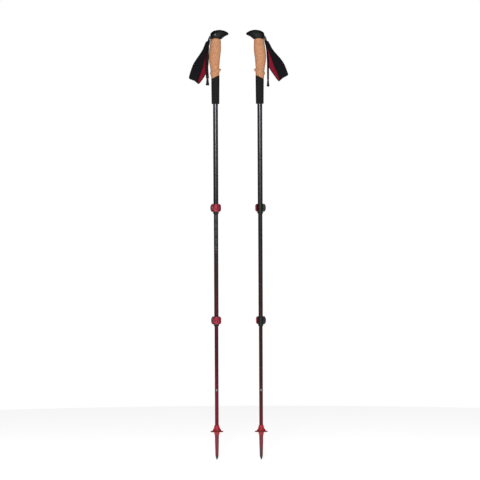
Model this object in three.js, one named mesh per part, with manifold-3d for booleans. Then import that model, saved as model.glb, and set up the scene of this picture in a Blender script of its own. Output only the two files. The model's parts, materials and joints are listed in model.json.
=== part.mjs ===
// A pair of three-section trekking poles at full length, upright on their tips.
// Millimetres, +Z up. The origin is on the ground, midway between the two tips.
// Each pole has a frame of its own: +Z up its shaft from the tip, +X towards the grip's beak,
// -Y towards the lock levers. The right pole is turned half a turn, so the beaks face each other.
import * as THREE from "three";
import { mergeVertices } from "three/addons/utils/BufferGeometryUtils.js";
import Module from "manifold-3d";

const wasm = await Module();
wasm.setup();

// Driving dimensions.
const POLE_SPACING = 144;
const GAP = 0.3;
const SLIDING_GAP = 0.15;
const SIDES = 24;
const SMALL_SIDES = 16;
const WALL = 0.8;

const UPPER_TUBE = { radius: 8, bottom: 819, top: 1365.5 };
const MIDDLE_TUBE = { radius: 7, bottom: 453.5, top: 884 };
const LOWER_TUBE = { radius: 6, bottom: 86, top: 504 };

// A lock is centred one millimetre below the end of the tube that it sits on.
const LOCK = {
  height: 26,
  wall: 3,
  earReach: 10,
  split: 1,
  pivotX: -3.2,
  camRadius: 3.6,
  lugHalf: 7,
  pinRadius: 1.8,
  screwRadius: 1.6,
  screwHead: 3.1,
  leverInset: 0.6,
  leverThickness: 3,
  collarHeight: 6,
  collarWall: 1.4,
};

const HEAD = { bottom: 1366, spigotRadius: 6.9, spigotLength: 26 };
const STRAP_PIN = { x: -15.5, z: 1372, radius: 1.6, length: 23 };
const STRAP_BARREL = { radius: 3.4, width: 14.4 };
const POCKET = { front: -9.5, width: 17, ceiling: 1376.8 };
const WEDGE_POCKET = { front: -4.5, width: 15.6, ceiling: 1386.3 };
const WEDGE = { front: -4.9, rear: -14.9, width: 15, bottom: 1377.2, top: 1385.9 };

const FOAM = { bottom: 1156, radiusTop: 13.4, radiusBottom: 12.7 };
const GRIP_JOINT = { z: 1243, slope: 0.5 };

const TIP_SHEATH = { top: 109, bottom: 14, socketRadius: 7, neckZ: 80, neckRadius: 6.8, endRadius: 5.2 };
const BASKET = { top: 112, plateTop: 94, plateBottom: 90, rimRadius: 21, bottom: 81, holes: 6 };
const FERRULE = { shankRadius: 2.9, shankTop: 34, bottom: 3 };
const CARBIDE = { radius: 1.4, top: 11, shoulder: 3 };

const PULL_TAB = { y: -3, height: 22, width: 12, depth: 4.4 };

// How each strap hangs: the band's route from the pin round the wrist and back, the direction
// of its flat width, the tail's route, and the pull tab at the tail's end with its turn.
const STRAPS = {
  left: {
    route: [
      [-16.9, 0, 1373], [-21, 0, 1369.6], [-25.3, -6.5, 1357.5], [-31.5, -11.5, 1336],
      [-43, -13.5, 1310], [-53, -14.5, 1287], [-61.5, -13.5, 1266], [-68, -8.5, 1246.5],
      [-70.6, 0, 1237.5],
      [-66, 8.5, 1233], [-56.5, 12.5, 1243.5], [-47, 13, 1259], [-39.5, 12.5, 1279],
      [-33.5, 11.5, 1304], [-28.5, 10, 1328], [-23.8, 8.5, 1348], [-18.3, 2.6, 1363], [-14.1, 0, 1371],
    ],
    across: [-0.88, 0, 0.48],
    tail: [
      [-12.6, -1.5, 1367.9], [-15.4, -1.5, 1362.3], [-19, -3, 1348], [-24.6, -2.5, 1328],
      [-27.6, -3, 1300], [-27.4, -3, 1268], [-25.5, -3, 1238.3],
    ],
    tailAcross: [-1, 0.15, 0],
    tab: { x: -25.5, top: 1238, turn: -8 },
  },
  right: {
    route: [
      [-16.9, 0, 1373], [-21, 0, 1369.6], [-25.4, -6.5, 1357], [-33, -11, 1335],
      [-45.5, -13.5, 1312], [-57, -14.5, 1292], [-67.5, -13.5, 1272], [-75, -8.5, 1253],
      [-78, 0, 1244.5],
      [-73, 8.5, 1241.5], [-62.5, 12.5, 1255], [-52, 13, 1270], [-42, 13, 1288],
      [-35, 12, 1310], [-29, 10, 1333], [-23.8, 8.5, 1348], [-18.3, 2.6, 1363], [-14.1, 0, 1371],
    ],
    across: [-0.84, 0, 0.54],
    tail: [
      [-12.6, -1.5, 1367.9], [-15.4, -1.5, 1362.3], [-19, -3, 1348], [-24, -2.5, 1328],
      [-26.6, -3, 1300], [-27.2, -3, 1268], [-27.2, -3, 1233.9],
    ],
    tailAcross: [-0.6, 0.8, 0],
    tab: { x: -27.2, top: 1233.6, turn: -53 },
  },
};

const up = new THREE.Vector3(0, 0, 1);

// Each material: colour, roughness, metalness.
function finish(color, roughness, metalness) {
  return new THREE.MeshStandardMaterial({ color, roughness, metalness });
}

const MATERIALS = {
  head: finish(0x1a181c, 0.55, 0),
  cork: finish(0xc48d66, 0.8, 0),
  foam: finish(0x262626, 0.9, 0),
  upperTube: finish(0x4a484c, 0.35, 0.6),
  middleTube: finish(0x3a3434, 0.35, 0.6),
  lowerTube: finish(0x5c2028, 0.35, 0.6),
  clamp: finish(0x141113, 0.45, 0),
  lever: finish(0x9c2434, 0.4, 0.3),
  steel: finish(0xb4b4b4, 0.3, 1),
  nylon: finish(0x202022, 0.5, 0),
  sheath: finish(0x8f273c, 0.5, 0),
  basket: finish(0xc41b2e, 0.5, 0),
  carbide: finish(0x2a2a2c, 0.4, 0.8),
  strap: finish(0x20171e, 0.9, 0),
  webbing: finish(0x3c1620, 0.9, 0),
};

// The signed volume of an indexed geometry: negative when its faces point inwards.
function volumeOf(geometry) {
  const position = geometry.getAttribute("position");
  const index = geometry.getIndex();
  const [a, b, c] = [new THREE.Vector3(), new THREE.Vector3(), new THREE.Vector3()];
  let volume = 0;
  for (let i = 0; i < index.count; i += 3) {
    a.fromBufferAttribute(position, index.getX(i));
    b.fromBufferAttribute(position, index.getX(i + 1));
    c.fromBufferAttribute(position, index.getX(i + 2));
    volume += a.dot(b.cross(c)) / 6;
  }
  return volume;
}

// A closed geometry with shared vertices, its faces pointing out.
function closed(geometry) {
  geometry.deleteAttribute("normal");
  geometry.deleteAttribute("uv");
  const merged = mergeVertices(geometry, 1e-4);
  if (volumeOf(merged) < 0) {
    const index = merged.getIndex().array;
    for (let i = 0; i < index.length; i += 3) {
      [index[i], index[i + 1]] = [index[i + 1], index[i]];
    }
  }
  return merged;
}

function toSolid(geometry) {
  const whole = closed(geometry);
  const vertProperties = new Float32Array(whole.getAttribute("position").array);
  const triVerts = new Uint32Array(whole.getIndex().array);
  return new wasm.Manifold(new wasm.Mesh({ numProp: 3, vertProperties, triVerts }));
}

function toGeometry(solid) {
  const mesh = solid.getMesh();
  const geometry = new THREE.BufferGeometry();
  geometry.setAttribute("position", new THREE.BufferAttribute(mesh.vertProperties, 3));
  geometry.setIndex(new THREE.BufferAttribute(mesh.triVerts, 1));
  return geometry;
}

// A solid turned about Z from [radius, z] points, which close on themselves or start and end at radius 0.
function turned(profile, sides = SIDES) {
  const points = profile.map(([r, z]) => new THREE.Vector2(r, z));
  if (profile[0][0] > 0) points.push(points[0].clone());
  return closed(new THREE.LatheGeometry(points, sides).rotateX(Math.PI / 2));
}

function pipe(outer, inner, bottom, top, sides = SIDES) {
  return turned([[inner, bottom], [outer, bottom], [outer, top], [inner, top]], sides);
}

function rod(radius, bottom, top, sides = SMALL_SIDES) {
  return turned([[0, bottom], [radius, bottom], [radius, top], [0, top]], sides);
}

// A rod along Y, centred on (x, z).
function crossRod(radius, x, y0, y1, z, sides = SMALL_SIDES) {
  return rod(radius, -y1, -y0, sides).rotateX(Math.PI / 2).translate(x, 0, z);
}

// A box from its lowest and highest corners.
function block(low, high) {
  const size = high.map((value, i) => value - low[i]);
  const middle = high.map((value, i) => (value + low[i]) / 2);
  return new THREE.BoxGeometry(...size).translate(...middle);
}

// A plate with an outline drawn in X and Z, as deep as from y0 to y1.
function plateXZ(outline, y0, y1) {
  const shape = new THREE.Shape(outline.map(([x, z]) => new THREE.Vector2(x, z)));
  const plate = new THREE.ExtrudeGeometry(shape, { depth: y1 - y0, bevelEnabled: false });
  return plate.rotateX(Math.PI / 2).translate(0, y1, 0);
}

// A closed skin over rings with the same number of points, capped at both ends.
function skin(rings) {
  const sides = rings[0].length;
  const positions = rings.flat().flatMap((p) => [p.x, p.y, p.z]);
  const index = [];
  for (let r = 0; r + 1 < rings.length; r += 1) {
    for (let i = 0; i < sides; i += 1) {
      const a = r * sides + i;
      const b = r * sides + ((i + 1) % sides);
      index.push(a, b, a + sides, b, b + sides, a + sides);
    }
  }
  for (const [ring, turn] of [[0, 1], [rings.length - 1, -1]]) {
    const middle = new THREE.Vector3();
    for (const p of rings[ring]) middle.addScaledVector(p, 1 / sides);
    const hub = positions.length / 3;
    positions.push(middle.x, middle.y, middle.z);
    for (let i = 0; i < sides; i += 1) {
      const a = ring * sides + i;
      const b = ring * sides + ((i + 1) % sides);
      index.push(...(turn > 0 ? [b, a, hub] : [a, b, hub]));
    }
  }
  const geometry = new THREE.BufferGeometry();
  geometry.setAttribute("position", new THREE.BufferAttribute(new Float32Array(positions), 3));
  geometry.setIndex(index);
  return closed(geometry);
}

// An egg-shaped ring round the shaft: it reaches to front and rear along X, and slopes up to the front.
function gripRing({ z, front, rear, half, slope = 0 }, sides = SIDES) {
  const middle = (front + rear) / 2;
  const reach = (front - rear) / 2;
  return Array.from({ length: sides }, (_, i) => {
    const angle = (2 * Math.PI * i) / sides;
    const x = middle + reach * Math.cos(angle);
    return new THREE.Vector3(x, half * Math.sin(angle), z + slope * x);
  });
}

// A rounded ring across the head, in Y and Z, squarer than an ellipse.
function headRing({ x, bottom, top, half }, sides = SIDES) {
  const squareness = 0.82;
  const power = (value) => Math.sign(value) * Math.abs(value) ** squareness;
  return Array.from({ length: sides }, (_, i) => {
    const angle = (2 * Math.PI * (i + 0.5)) / sides;
    const rise = ((top - bottom) / 2) * power(Math.sin(angle));
    return new THREE.Vector3(x, half * power(Math.cos(angle)), (top + bottom) / 2 + rise);
  });
}

// A flat band along a path. Its width turns from Y towards `across`, as `turn` says along the way.
function band(points, steps, across, turn, halfWidth, halfThickness) {
  const path = new THREE.CatmullRomCurve3(points.map((p) => new THREE.Vector3(...p)), false, "centripetal");
  const level = new THREE.Vector3(0, 1, 0);
  const rings = [];
  for (let i = 0; i <= steps; i += 1) {
    const s = i / steps;
    const centre = path.getPointAt(s);
    const along = path.getTangentAt(s);
    const width = level.clone().lerp(across, turn(s));
    width.addScaledVector(along, -width.dot(along)).normalize();
    const face = new THREE.Vector3().crossVectors(along, width);
    const corners = [[1, 1], [-1, 1], [-1, -1], [1, -1]];
    rings.push(corners.map(([u, v]) => centre.clone()
      .addScaledVector(width, u * halfWidth(s))
      .addScaledVector(face, v * halfThickness(s))));
  }
  return skin(rings);
}

// The moulded head: a dome with a beak in front, a spigot into the shaft,
// and a pocket behind for the strap's barrel, its pin and its wedge.
function makeHead() {
  const stations = [
    { x: -16.2, bottom: 1372, top: 1381, half: 8 },
    { x: -14.8, bottom: 1366, top: 1386, half: 11 },
    { x: -11, bottom: 1360, top: 1389.6, half: 13.4 },
    { x: -4, bottom: 1358, top: 1393, half: 15 },
    { x: 4, bottom: 1358, top: 1395, half: 15.5 },
    { x: 12, bottom: 1358, top: 1396, half: 15.4 },
    { x: 18, bottom: 1364.5, top: 1395.8, half: 14.6 },
    { x: 24, bottom: 1370.5, top: 1394.6, half: 13.4 },
    { x: 31, bottom: 1375.4, top: 1392.8, half: 11.6 },
    { x: 38, bottom: 1378.5, top: 1389.8, half: 8.8 },
    { x: 41.5, bottom: 1380.2, top: 1387.4, half: 6 },
    { x: 43, bottom: 1381.6, top: 1385.8, half: 3.2 },
  ];
  const { x, z, radius, length } = STRAP_PIN;
  const side = length / 2 + 0.5;
  const tall = 40;
  const wide = 60;
  return toGeometry(
    toSolid(skin(stations.map((station) => headRing(station))))
      .subtract(toSolid(block([-wide, -wide, HEAD.bottom - tall], [wide, wide, HEAD.bottom])))
      .add(toSolid(crossRod(STRAP_BARREL.radius + 1.2, x, -side, side, z)))
      .add(toSolid(rod(HEAD.spigotRadius, HEAD.bottom - HEAD.spigotLength, HEAD.bottom + 4, SIDES)))
      .subtract(toSolid(block(
        [-wide, -POCKET.width / 2, HEAD.bottom - tall],
        [POCKET.front, POCKET.width / 2, POCKET.ceiling],
      )))
      .subtract(toSolid(block(
        [-wide, -WEDGE_POCKET.width / 2, POCKET.ceiling - 1],
        [WEDGE_POCKET.front, WEDGE_POCKET.width / 2, WEDGE_POCKET.ceiling],
      )))
      .subtract(toSolid(crossRod(radius + GAP, x, -wide, wide, z))),
  );
}

// The cork grip: a palm swell, a slanting finger ledge, and a slanting lower edge.
function makeCork() {
  const stations = [
    { z: HEAD.bottom - GAP, front: 16.6, rear: -12.5, half: 12.6 },
    { z: 1362.5, front: 18, rear: -14, half: 13.9 },
    { z: 1353, front: 18.6, rear: -16, half: 14.6 },
    { z: 1329, front: 18.5, rear: -19.4, half: 15.5 },
    { z: 1313, front: 16.6, rear: -21, half: 15.9 },
    { z: 1288, front: 14, rear: -18.9, half: 14.8, slope: 0.08 },
    { z: 1273, front: 13.2, rear: -16.2, half: 13.6, slope: 0.22 },
    { z: 1266, front: 13.6, rear: -15.8, half: 13.8, slope: 0.33 },
    { z: 1262.8, front: 18.8, rear: -17.2, half: 15.2, slope: 0.33 },
    { z: 1260, front: 19, rear: -17.8, half: 15.6, slope: 0.33 },
    { z: 1255.5, front: 14, rear: -15, half: 13.8, slope: 0.38 },
    { z: 1251, front: 13.2, rear: -14, half: 13.4, slope: 0.45 },
    { z: GRIP_JOINT.z, front: 12.9, rear: -13.4, half: 13.2, slope: GRIP_JOINT.slope },
  ];
  const bore = rod(UPPER_TUBE.radius + GAP, 1200, 1400, SIDES);
  return toGeometry(toSolid(skin(stations.map((s) => gripRing(s)))).subtract(toSolid(bore)));
}

function round(z, radius, slope = 0) {
  return gripRing({ z, front: radius, rear: -radius, half: radius, slope });
}

function makeFoam() {
  const rings = [
    round(GRIP_JOINT.z - 0.4, FOAM.radiusTop - 0.3, GRIP_JOINT.slope),
    round(GRIP_JOINT.z - 14, FOAM.radiusTop),
    round(FOAM.bottom + 4, FOAM.radiusBottom),
    round(FOAM.bottom, FOAM.radiusBottom - 1.2),
  ];
  const bore = rod(UPPER_TUBE.radius + GAP, 1100, 1300, SIDES);
  return toGeometry(toSolid(skin(rings)).subtract(toSolid(bore)));
}

function makeTube({ radius, bottom, top }) {
  return pipe(radius, radius - WALL, bottom, top);
}

// The nylon plug in the top of a sliding tube. Its head guides the tube inside the next one.
function makeGuide({ radius, top }) {
  const spigot = radius - WALL - GAP;
  return turned([
    [0, top - 14],
    [spigot, top - 14],
    [spigot, top + GAP],
    [radius, top + GAP],
    [radius, top + 5],
    [radius - 1, top + 6],
    [0, top + 6],
  ], SMALL_SIDES);
}

// The split sleeve under a lock, between the lock's bore and the tube that slides in it.
function makeBushing(outerTube, innerTube) {
  const bore = innerTube.radius + SLIDING_GAP;
  const lockBottom = outerTube.bottom - 1 - LOCK.height / 2;
  const shoulder = lockBottom - GAP;
  return turned([
    [bore, lockBottom - LOCK.collarHeight],
    [outerTube.radius + LOCK.collarWall - 0.6, lockBottom - LOCK.collarHeight],
    [outerTube.radius + LOCK.collarWall, lockBottom - LOCK.collarHeight + 1],
    [outerTube.radius + LOCK.collarWall, shoulder],
    [outerTube.radius, shoulder],
    [outerTube.radius, outerTube.bottom - GAP],
    [bore, outerTube.bottom - GAP],
  ]);
}

// Where a lock's parts lie, about the middle of its tube and its height.
function lockPlaces(tube) {
  const collar = tube.radius + LOCK.wall;
  const pivotX = -tube.radius + LOCK.pivotX;
  const reach = collar + GAP + LOCK.camRadius;
  const pivotY = -Math.sqrt(reach ** 2 - pivotX ** 2);
  return { collar, pivotX, pivotY, earDepth: -pivotY - LOCK.camRadius - GAP };
}

// The clamp: a split collar with two tapered ears, crossed by the screw's hole and its flat seat.
function makeClamp(tube) {
  const { collar, pivotX, earDepth } = lockPlaces(tube);
  const half = LOCK.height / 2;
  const root = -tube.radius;
  const tip = -tube.radius - LOCK.earReach;
  const outline = [
    [root, -half], [root - 5, -half], [tip, -7], [tip, 7], [root - 5, half], [root, half],
  ];
  return toGeometry(
    toSolid(rod(collar, -half, half, SIDES))
      .add(toSolid(plateXZ(outline, -earDepth, earDepth)))
      .subtract(toSolid(rod(tube.radius + GAP, -half - 1, half + 1, SIDES)))
      .subtract(toSolid(block([tip - 1, -LOCK.split, -half - 1], [root + 2, LOCK.split, half + 1])))
      .subtract(toSolid(crossRod(LOCK.screwRadius + GAP, pivotX, -8, 8, 0)))
      .subtract(toSolid(crossRod(LOCK.screwHead + GAP, pivotX, earDepth, 20, 0))),
  );
}

// The lever: two cam lugs on the pivot pin, an arm round the front of the collar, and a lifted finger end.
function makeLever(tube) {
  const { collar, pivotX, pivotY } = lockPlaces(tube);
  const inner = collar + LOCK.leverInset;
  const outer = inner + LOCK.leverThickness;
  const start = Math.atan2(pivotY, pivotX);
  const bend = THREE.MathUtils.degToRad(-28);
  const end = THREE.MathUtils.degToRad(4);
  const steps = 14;
  const outline = [];
  for (let i = 0; i <= steps; i += 1) {
    const angle = start + 0.05 + ((bend - start) * i) / steps;
    outline.push(new THREE.Vector2(outer * Math.cos(angle), outer * Math.sin(angle)));
  }
  outline.push(new THREE.Vector2(outer + 2, outer * Math.sin(end) - 4));
  outline.push(new THREE.Vector2(outer + 2, outer * Math.sin(end)));
  for (let i = steps; i >= 0; i -= 1) {
    const angle = start + 0.05 + ((end - start) * i) / steps;
    outline.push(new THREE.Vector2(inner * Math.cos(angle), inner * Math.sin(angle)));
  }
  const half = LOCK.height / 2 - 0.5;
  const lug = LOCK.lugHalf;
  const arm = new THREE.ExtrudeGeometry(new THREE.Shape(outline), { depth: 2 * half, bevelEnabled: false });
  const face = [
    [-30, -half], [outer - 3, -half], [outer + 3, -half + 5],
    [outer + 3, half - 5], [outer - 3, half], [-30, half],
  ];
  const screwSlot = block([-6, -0.7, -2.3], [6, 6, 2.3])
    .rotateZ(THREE.MathUtils.degToRad(60))
    .translate(pivotX, pivotY, 0);
  return toGeometry(
    toSolid(arm.translate(0, 0, -half))
      .add(toSolid(rod(LOCK.camRadius, -lug, lug).translate(pivotX, pivotY, 0)))
      .intersect(toSolid(plateXZ(face, -40, 40)))
      .subtract(toSolid(rod(LOCK.pinRadius + GAP, -lug - 1, lug + 1).translate(pivotX, pivotY, 0)))
      .subtract(toSolid(screwSlot)),
  );
}

// The tension screw: a head with a hexagon socket behind the ears, and a shank through them.
function makeScrew(tube) {
  const { pivotX, pivotY, earDepth } = lockPlaces(tube);
  const seat = earDepth + GAP;
  const head = crossRod(LOCK.screwHead, pivotX, seat, seat + 2.6, 0);
  const shank = crossRod(LOCK.screwRadius, pivotX, pivotY + LOCK.pinRadius + GAP, seat + 1, 0, 12);
  const socket = crossRod(1.5, pivotX, seat + 1.2, seat + 4, 0, 6);
  return toGeometry(toSolid(head).add(toSolid(shank)).subtract(toSolid(socket)));
}

function makeSheath() {
  const { top, bottom, socketRadius, neckZ, neckRadius, endRadius } = TIP_SHEATH;
  const floor = LOWER_TUBE.bottom - GAP;
  const bore = FERRULE.shankRadius + GAP;
  return turned([
    [bore, bottom],
    [endRadius - 0.3, bottom],
    [endRadius, bottom + 1.5],
    [neckRadius, neckZ],
    [socketRadius, neckZ + 2],
    [socketRadius, top],
    [LOWER_TUBE.radius + GAP, top],
    [LOWER_TUBE.radius + GAP, floor],
    [bore, floor],
  ]);
}

// The basket: a flared hub over the sheath's neck, and a thin plate with round holes.
function makeBasket() {
  const bore = TIP_SHEATH.socketRadius + GAP;
  const { top, plateTop, plateBottom, rimRadius, bottom, holes } = BASKET;
  const body = turned([
    [bore, bottom],
    [bore + 0.7, bottom],
    [bore + 1.8, plateBottom - 1],
    [rimRadius - 8, plateBottom],
    [rimRadius - 0.6, plateBottom],
    [rimRadius, plateBottom + 0.6],
    [rimRadius, plateBottom + 2],
    [rimRadius - 8, plateTop],
    [bore + 3.8, plateTop + 3],
    [bore + 2.2, plateTop + 9],
    [bore + 0.7, top - 1],
    [bore + 0.5, top],
    [bore, top],
  ]);
  let basket = toSolid(body);
  for (let i = 0; i < holes; i += 1) {
    const angle = (2 * Math.PI * i) / holes;
    const hole = rod(2.3, plateBottom - 5, plateTop + 5, 10);
    hole.translate(15.6 * Math.cos(angle), 15.6 * Math.sin(angle), 0);
    basket = basket.subtract(toSolid(hole));
  }
  return toGeometry(basket);
}

function makeFerrule() {
  const bore = CARBIDE.radius + GAP;
  const seat = TIP_SHEATH.bottom - GAP;
  const { shankRadius, shankTop, bottom } = FERRULE;
  return turned([
    [bore, bottom],
    [bore + 0.9, bottom],
    [TIP_SHEATH.endRadius - 1.2, seat - 5],
    [TIP_SHEATH.endRadius - 0.3, seat - 2],
    [TIP_SHEATH.endRadius - 0.3, seat],
    [shankRadius, seat],
    [shankRadius, shankTop],
    [0, shankTop],
    [0, CARBIDE.top + GAP],
    [bore, CARBIDE.top + GAP],
  ], SMALL_SIDES);
}

function makeCarbide() {
  const { radius, top, shoulder } = CARBIDE;
  return turned([
    [0, 0.5],
    [0.9, 0],
    [1.6, shoulder - GAP],
    [radius, shoulder],
    [radius, top],
    [0, top],
  ], SMALL_SIDES);
}

const smooth = (s, from, to) => THREE.MathUtils.smoothstep(s, from, to);

// The wrist strap: a padded band that leaves the pin's barrel, turns its flat side to -Y,
// folds back round the wrist and returns to the barrel.
function makeStrap({ route, across }) {
  const lean = (s) => smooth(s, 0.015, 0.1) * (1 - smooth(s, 0.84, 0.97));
  const pad = (s) => smooth(s, 0.14, 0.36) * (1 - smooth(s, 0.68, 0.9));
  const side = new THREE.Vector3(...across);
  const strap = band(route, 44, side, lean, (s) => 7 + 9.4 * pad(s), (s) => 1.1 + 0.5 * pad(s));
  const { x, z, radius } = STRAP_PIN;
  const half = STRAP_BARREL.width / 2;
  return toGeometry(
    toSolid(strap)
      .add(toSolid(crossRod(STRAP_BARREL.radius, x, -half, half, z)))
      .subtract(toSolid(crossRod(radius + GAP, x, -20, 20, z))),
  );
}

// The free end of the strap's webbing, which hangs behind the grip.
function makeTail({ tail, tailAcross }) {
  const side = new THREE.Vector3(...tailAcross);
  return band(tail, 20, side, (s) => smooth(s, 0.16, 0.46), () => 5, () => 0.6);
}

function makePullTab({ x, top, turn }) {
  const { y, height, width, depth } = PULL_TAB;
  const shape = new THREE.Shape([
    new THREE.Vector2(-width / 2 + 2.6, 0),
    new THREE.Vector2(-width / 2 + 1.6, -height * 0.55),
    new THREE.Vector2(-width / 2, -height + 2),
    new THREE.Vector2(-width / 2 + 1, -height),
    new THREE.Vector2(width / 2 - 1, -height),
    new THREE.Vector2(width / 2, -height + 2),
    new THREE.Vector2(width / 2 - 1.6, -height * 0.55),
    new THREE.Vector2(width / 2 - 2.6, 0),
  ]);
  const tab = new THREE.ExtrudeGeometry(shape, { depth, bevelEnabled: false });
  tab.translate(0, 0, -depth / 2).rotateX(Math.PI / 2);
  return tab.rotateZ(THREE.MathUtils.degToRad(turn)).translate(x, y, top);
}

function makeWedge() {
  const { front, rear, width, bottom, top } = WEDGE;
  const outline = [
    [front, bottom + 1.5], [front, top - 1.5], [front - 3, top], [rear + 1.5, top],
    [rear, top - 2], [rear, bottom + 1], [rear + 1, bottom], [front - 3, bottom],
  ];
  return plateXZ(outline, -width / 2, width / 2);
}

// A lock's parts, in order of name, geometry and material, placed at their own height.
function lockParts(prefix, outerTube, innerTube) {
  const z = outerTube.bottom - 1;
  const { pivotX, pivotY } = lockPlaces(outerTube);
  const half = LOCK.lugHalf - 0.5;
  const pin = rod(LOCK.pinRadius, z - half, z + half).translate(pivotX, pivotY, 0);
  return [
    [`${prefix}_clamp`, makeClamp(outerTube).translate(0, 0, z), MATERIALS.clamp],
    [`${prefix}_lever`, makeLever(outerTube).translate(0, 0, z), MATERIALS.lever],
    [`${prefix}_lever_pin`, pin, MATERIALS.steel],
    [`${prefix}_tension_screw`, makeScrew(outerTube).translate(0, 0, z), MATERIALS.steel],
    [`${prefix}_bushing`, makeBushing(outerTube, innerTube), MATERIALS.nylon],
  ];
}

const HALF_PIN = STRAP_PIN.length / 2;

// Every part of a pole but its strap, in the pole's own frame.
const POLE_PARTS = [
  ["grip_head", makeHead(), MATERIALS.head],
  ["strap_pin", crossRod(STRAP_PIN.radius, STRAP_PIN.x, -HALF_PIN, HALF_PIN, STRAP_PIN.z), MATERIALS.steel],
  ["strap_wedge", makeWedge(), MATERIALS.nylon],
  ["cork_grip", makeCork(), MATERIALS.cork],
  ["foam_grip", makeFoam(), MATERIALS.foam],
  ["upper_tube", makeTube(UPPER_TUBE), MATERIALS.upperTube],
  ...lockParts("upper", UPPER_TUBE, MIDDLE_TUBE),
  ["middle_tube", makeTube(MIDDLE_TUBE), MATERIALS.middleTube],
  ["middle_guide", makeGuide(MIDDLE_TUBE), MATERIALS.nylon],
  ...lockParts("lower", MIDDLE_TUBE, LOWER_TUBE),
  ["lower_tube", makeTube(LOWER_TUBE), MATERIALS.lowerTube],
  ["lower_guide", makeGuide(LOWER_TUBE), MATERIALS.nylon],
  ["tip_sheath", makeSheath(), MATERIALS.sheath],
  ["basket", makeBasket(), MATERIALS.basket],
  ["tip_ferrule", makeFerrule(), MATERIALS.steel],
  ["carbide_tip", makeCarbide(), MATERIALS.carbide],
];

function strapParts(shape) {
  return [
    ["strap", makeStrap(shape), MATERIALS.strap],
    ["strap_tail", makeTail(shape), MATERIALS.webbing],
    ["pull_tab", makePullTab(shape.tab), MATERIALS.nylon],
  ];
}

function addParts(group, side, parts) {
  for (const [name, geometry, material] of parts) {
    const mesh = new THREE.Mesh(geometry, material);
    mesh.name = `${side}_${name}`;
    group.add(mesh);
  }
}

// One pole. The straps are a left and a right one: each folds towards the same side of the pair.
function makePole(side, x, turn, fold) {
  const pole = new THREE.Group();
  addParts(pole, side, POLE_PARTS);
  const wrist = new THREE.Group();
  wrist.scale.y = fold;
  addParts(wrist, side, strapParts(STRAPS[side]));
  pole.add(wrist);
  pole.position.x = x;
  pole.setRotationFromAxisAngle(up, turn);
  return pole;
}

const poles = new THREE.Group();
poles.add(makePole("left", -POLE_SPACING / 2, 0, 1));
poles.add(makePole("right", POLE_SPACING / 2, Math.PI, -1));

export default poles;
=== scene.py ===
"""A pair of trekking poles, upright at full length: cork and foam grips, padded wrist straps,
lever locks, small baskets and carbide tips.

Shapes are worked out in millimetres in a pole's own frame: +Z up the shaft, +X towards the grip's
beak, -Y towards the lock levers. PLACES turns that frame into the row frame, in metres.
"""

import json
import math

import bmesh
import bpy
from mathutils import Matrix, Vector, noise

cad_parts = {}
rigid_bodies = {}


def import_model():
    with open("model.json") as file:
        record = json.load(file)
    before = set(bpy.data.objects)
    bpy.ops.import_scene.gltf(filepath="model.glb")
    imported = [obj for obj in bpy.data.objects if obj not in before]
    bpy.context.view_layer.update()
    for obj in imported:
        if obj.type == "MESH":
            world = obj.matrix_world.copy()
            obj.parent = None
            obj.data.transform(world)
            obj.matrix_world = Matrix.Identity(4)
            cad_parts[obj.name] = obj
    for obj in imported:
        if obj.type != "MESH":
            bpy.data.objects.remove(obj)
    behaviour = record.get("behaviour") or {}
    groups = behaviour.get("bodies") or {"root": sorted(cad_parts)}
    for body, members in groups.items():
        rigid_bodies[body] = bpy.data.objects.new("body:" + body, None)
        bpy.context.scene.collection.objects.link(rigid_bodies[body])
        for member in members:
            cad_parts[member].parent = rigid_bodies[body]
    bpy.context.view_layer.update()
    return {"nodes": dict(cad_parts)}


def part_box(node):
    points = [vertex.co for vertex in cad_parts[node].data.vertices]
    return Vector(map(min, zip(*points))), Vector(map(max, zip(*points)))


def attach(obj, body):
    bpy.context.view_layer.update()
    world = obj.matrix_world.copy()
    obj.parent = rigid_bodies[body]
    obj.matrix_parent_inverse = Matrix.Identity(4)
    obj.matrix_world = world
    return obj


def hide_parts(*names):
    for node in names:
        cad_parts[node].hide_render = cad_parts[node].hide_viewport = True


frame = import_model()

MM = 0.001
SIDES = ("left", "right")
ROUND = 72
CORNER_STEPS = 4


def shaft_axis(side):
    low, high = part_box(f"{side}_upper_tube")
    return (low.x + high.x) / 2


PLACES = {
    "left": Matrix.Translation((shaft_axis("left"), 0, 0)) @ Matrix.Scale(MM, 4),
    "right": Matrix.Translation((shaft_axis("right"), 0, 0))
    @ Matrix.Rotation(math.pi, 4, "Z")
    @ Matrix.Scale(MM, 4),
}
FOLDED_OVER = Matrix.Scale(-1, 4, (0, 1, 0))


def local_box(node):
    """The lowest and highest corners of one of the left pole's nodes, in its own frame."""
    own = PLACES["left"].inverted()
    low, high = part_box(f"left_{node}")
    return own @ low, own @ high


class Tube:
    """Radius, bottom and top of a round node."""

    def __init__(self, node):
        low, high = local_box(node)
        self.radius = (high.x - low.x) / 2
        self.bottom = low.z
        self.top = high.z


UPPER = Tube("upper_tube")
MIDDLE = Tube("middle_tube")
LOWER = Tube("lower_tube")
WALL = 0.8
CLEAR = 0.3

# ---- Mesh making ----


def signed_volume(points, faces):
    total = 0.0
    for face in faces:
        first = Vector(points[face[0]])
        for a, b in zip(face[1:], face[2:]):
            total += first.dot(Vector(points[a]).cross(Vector(points[b])))
    return total


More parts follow.
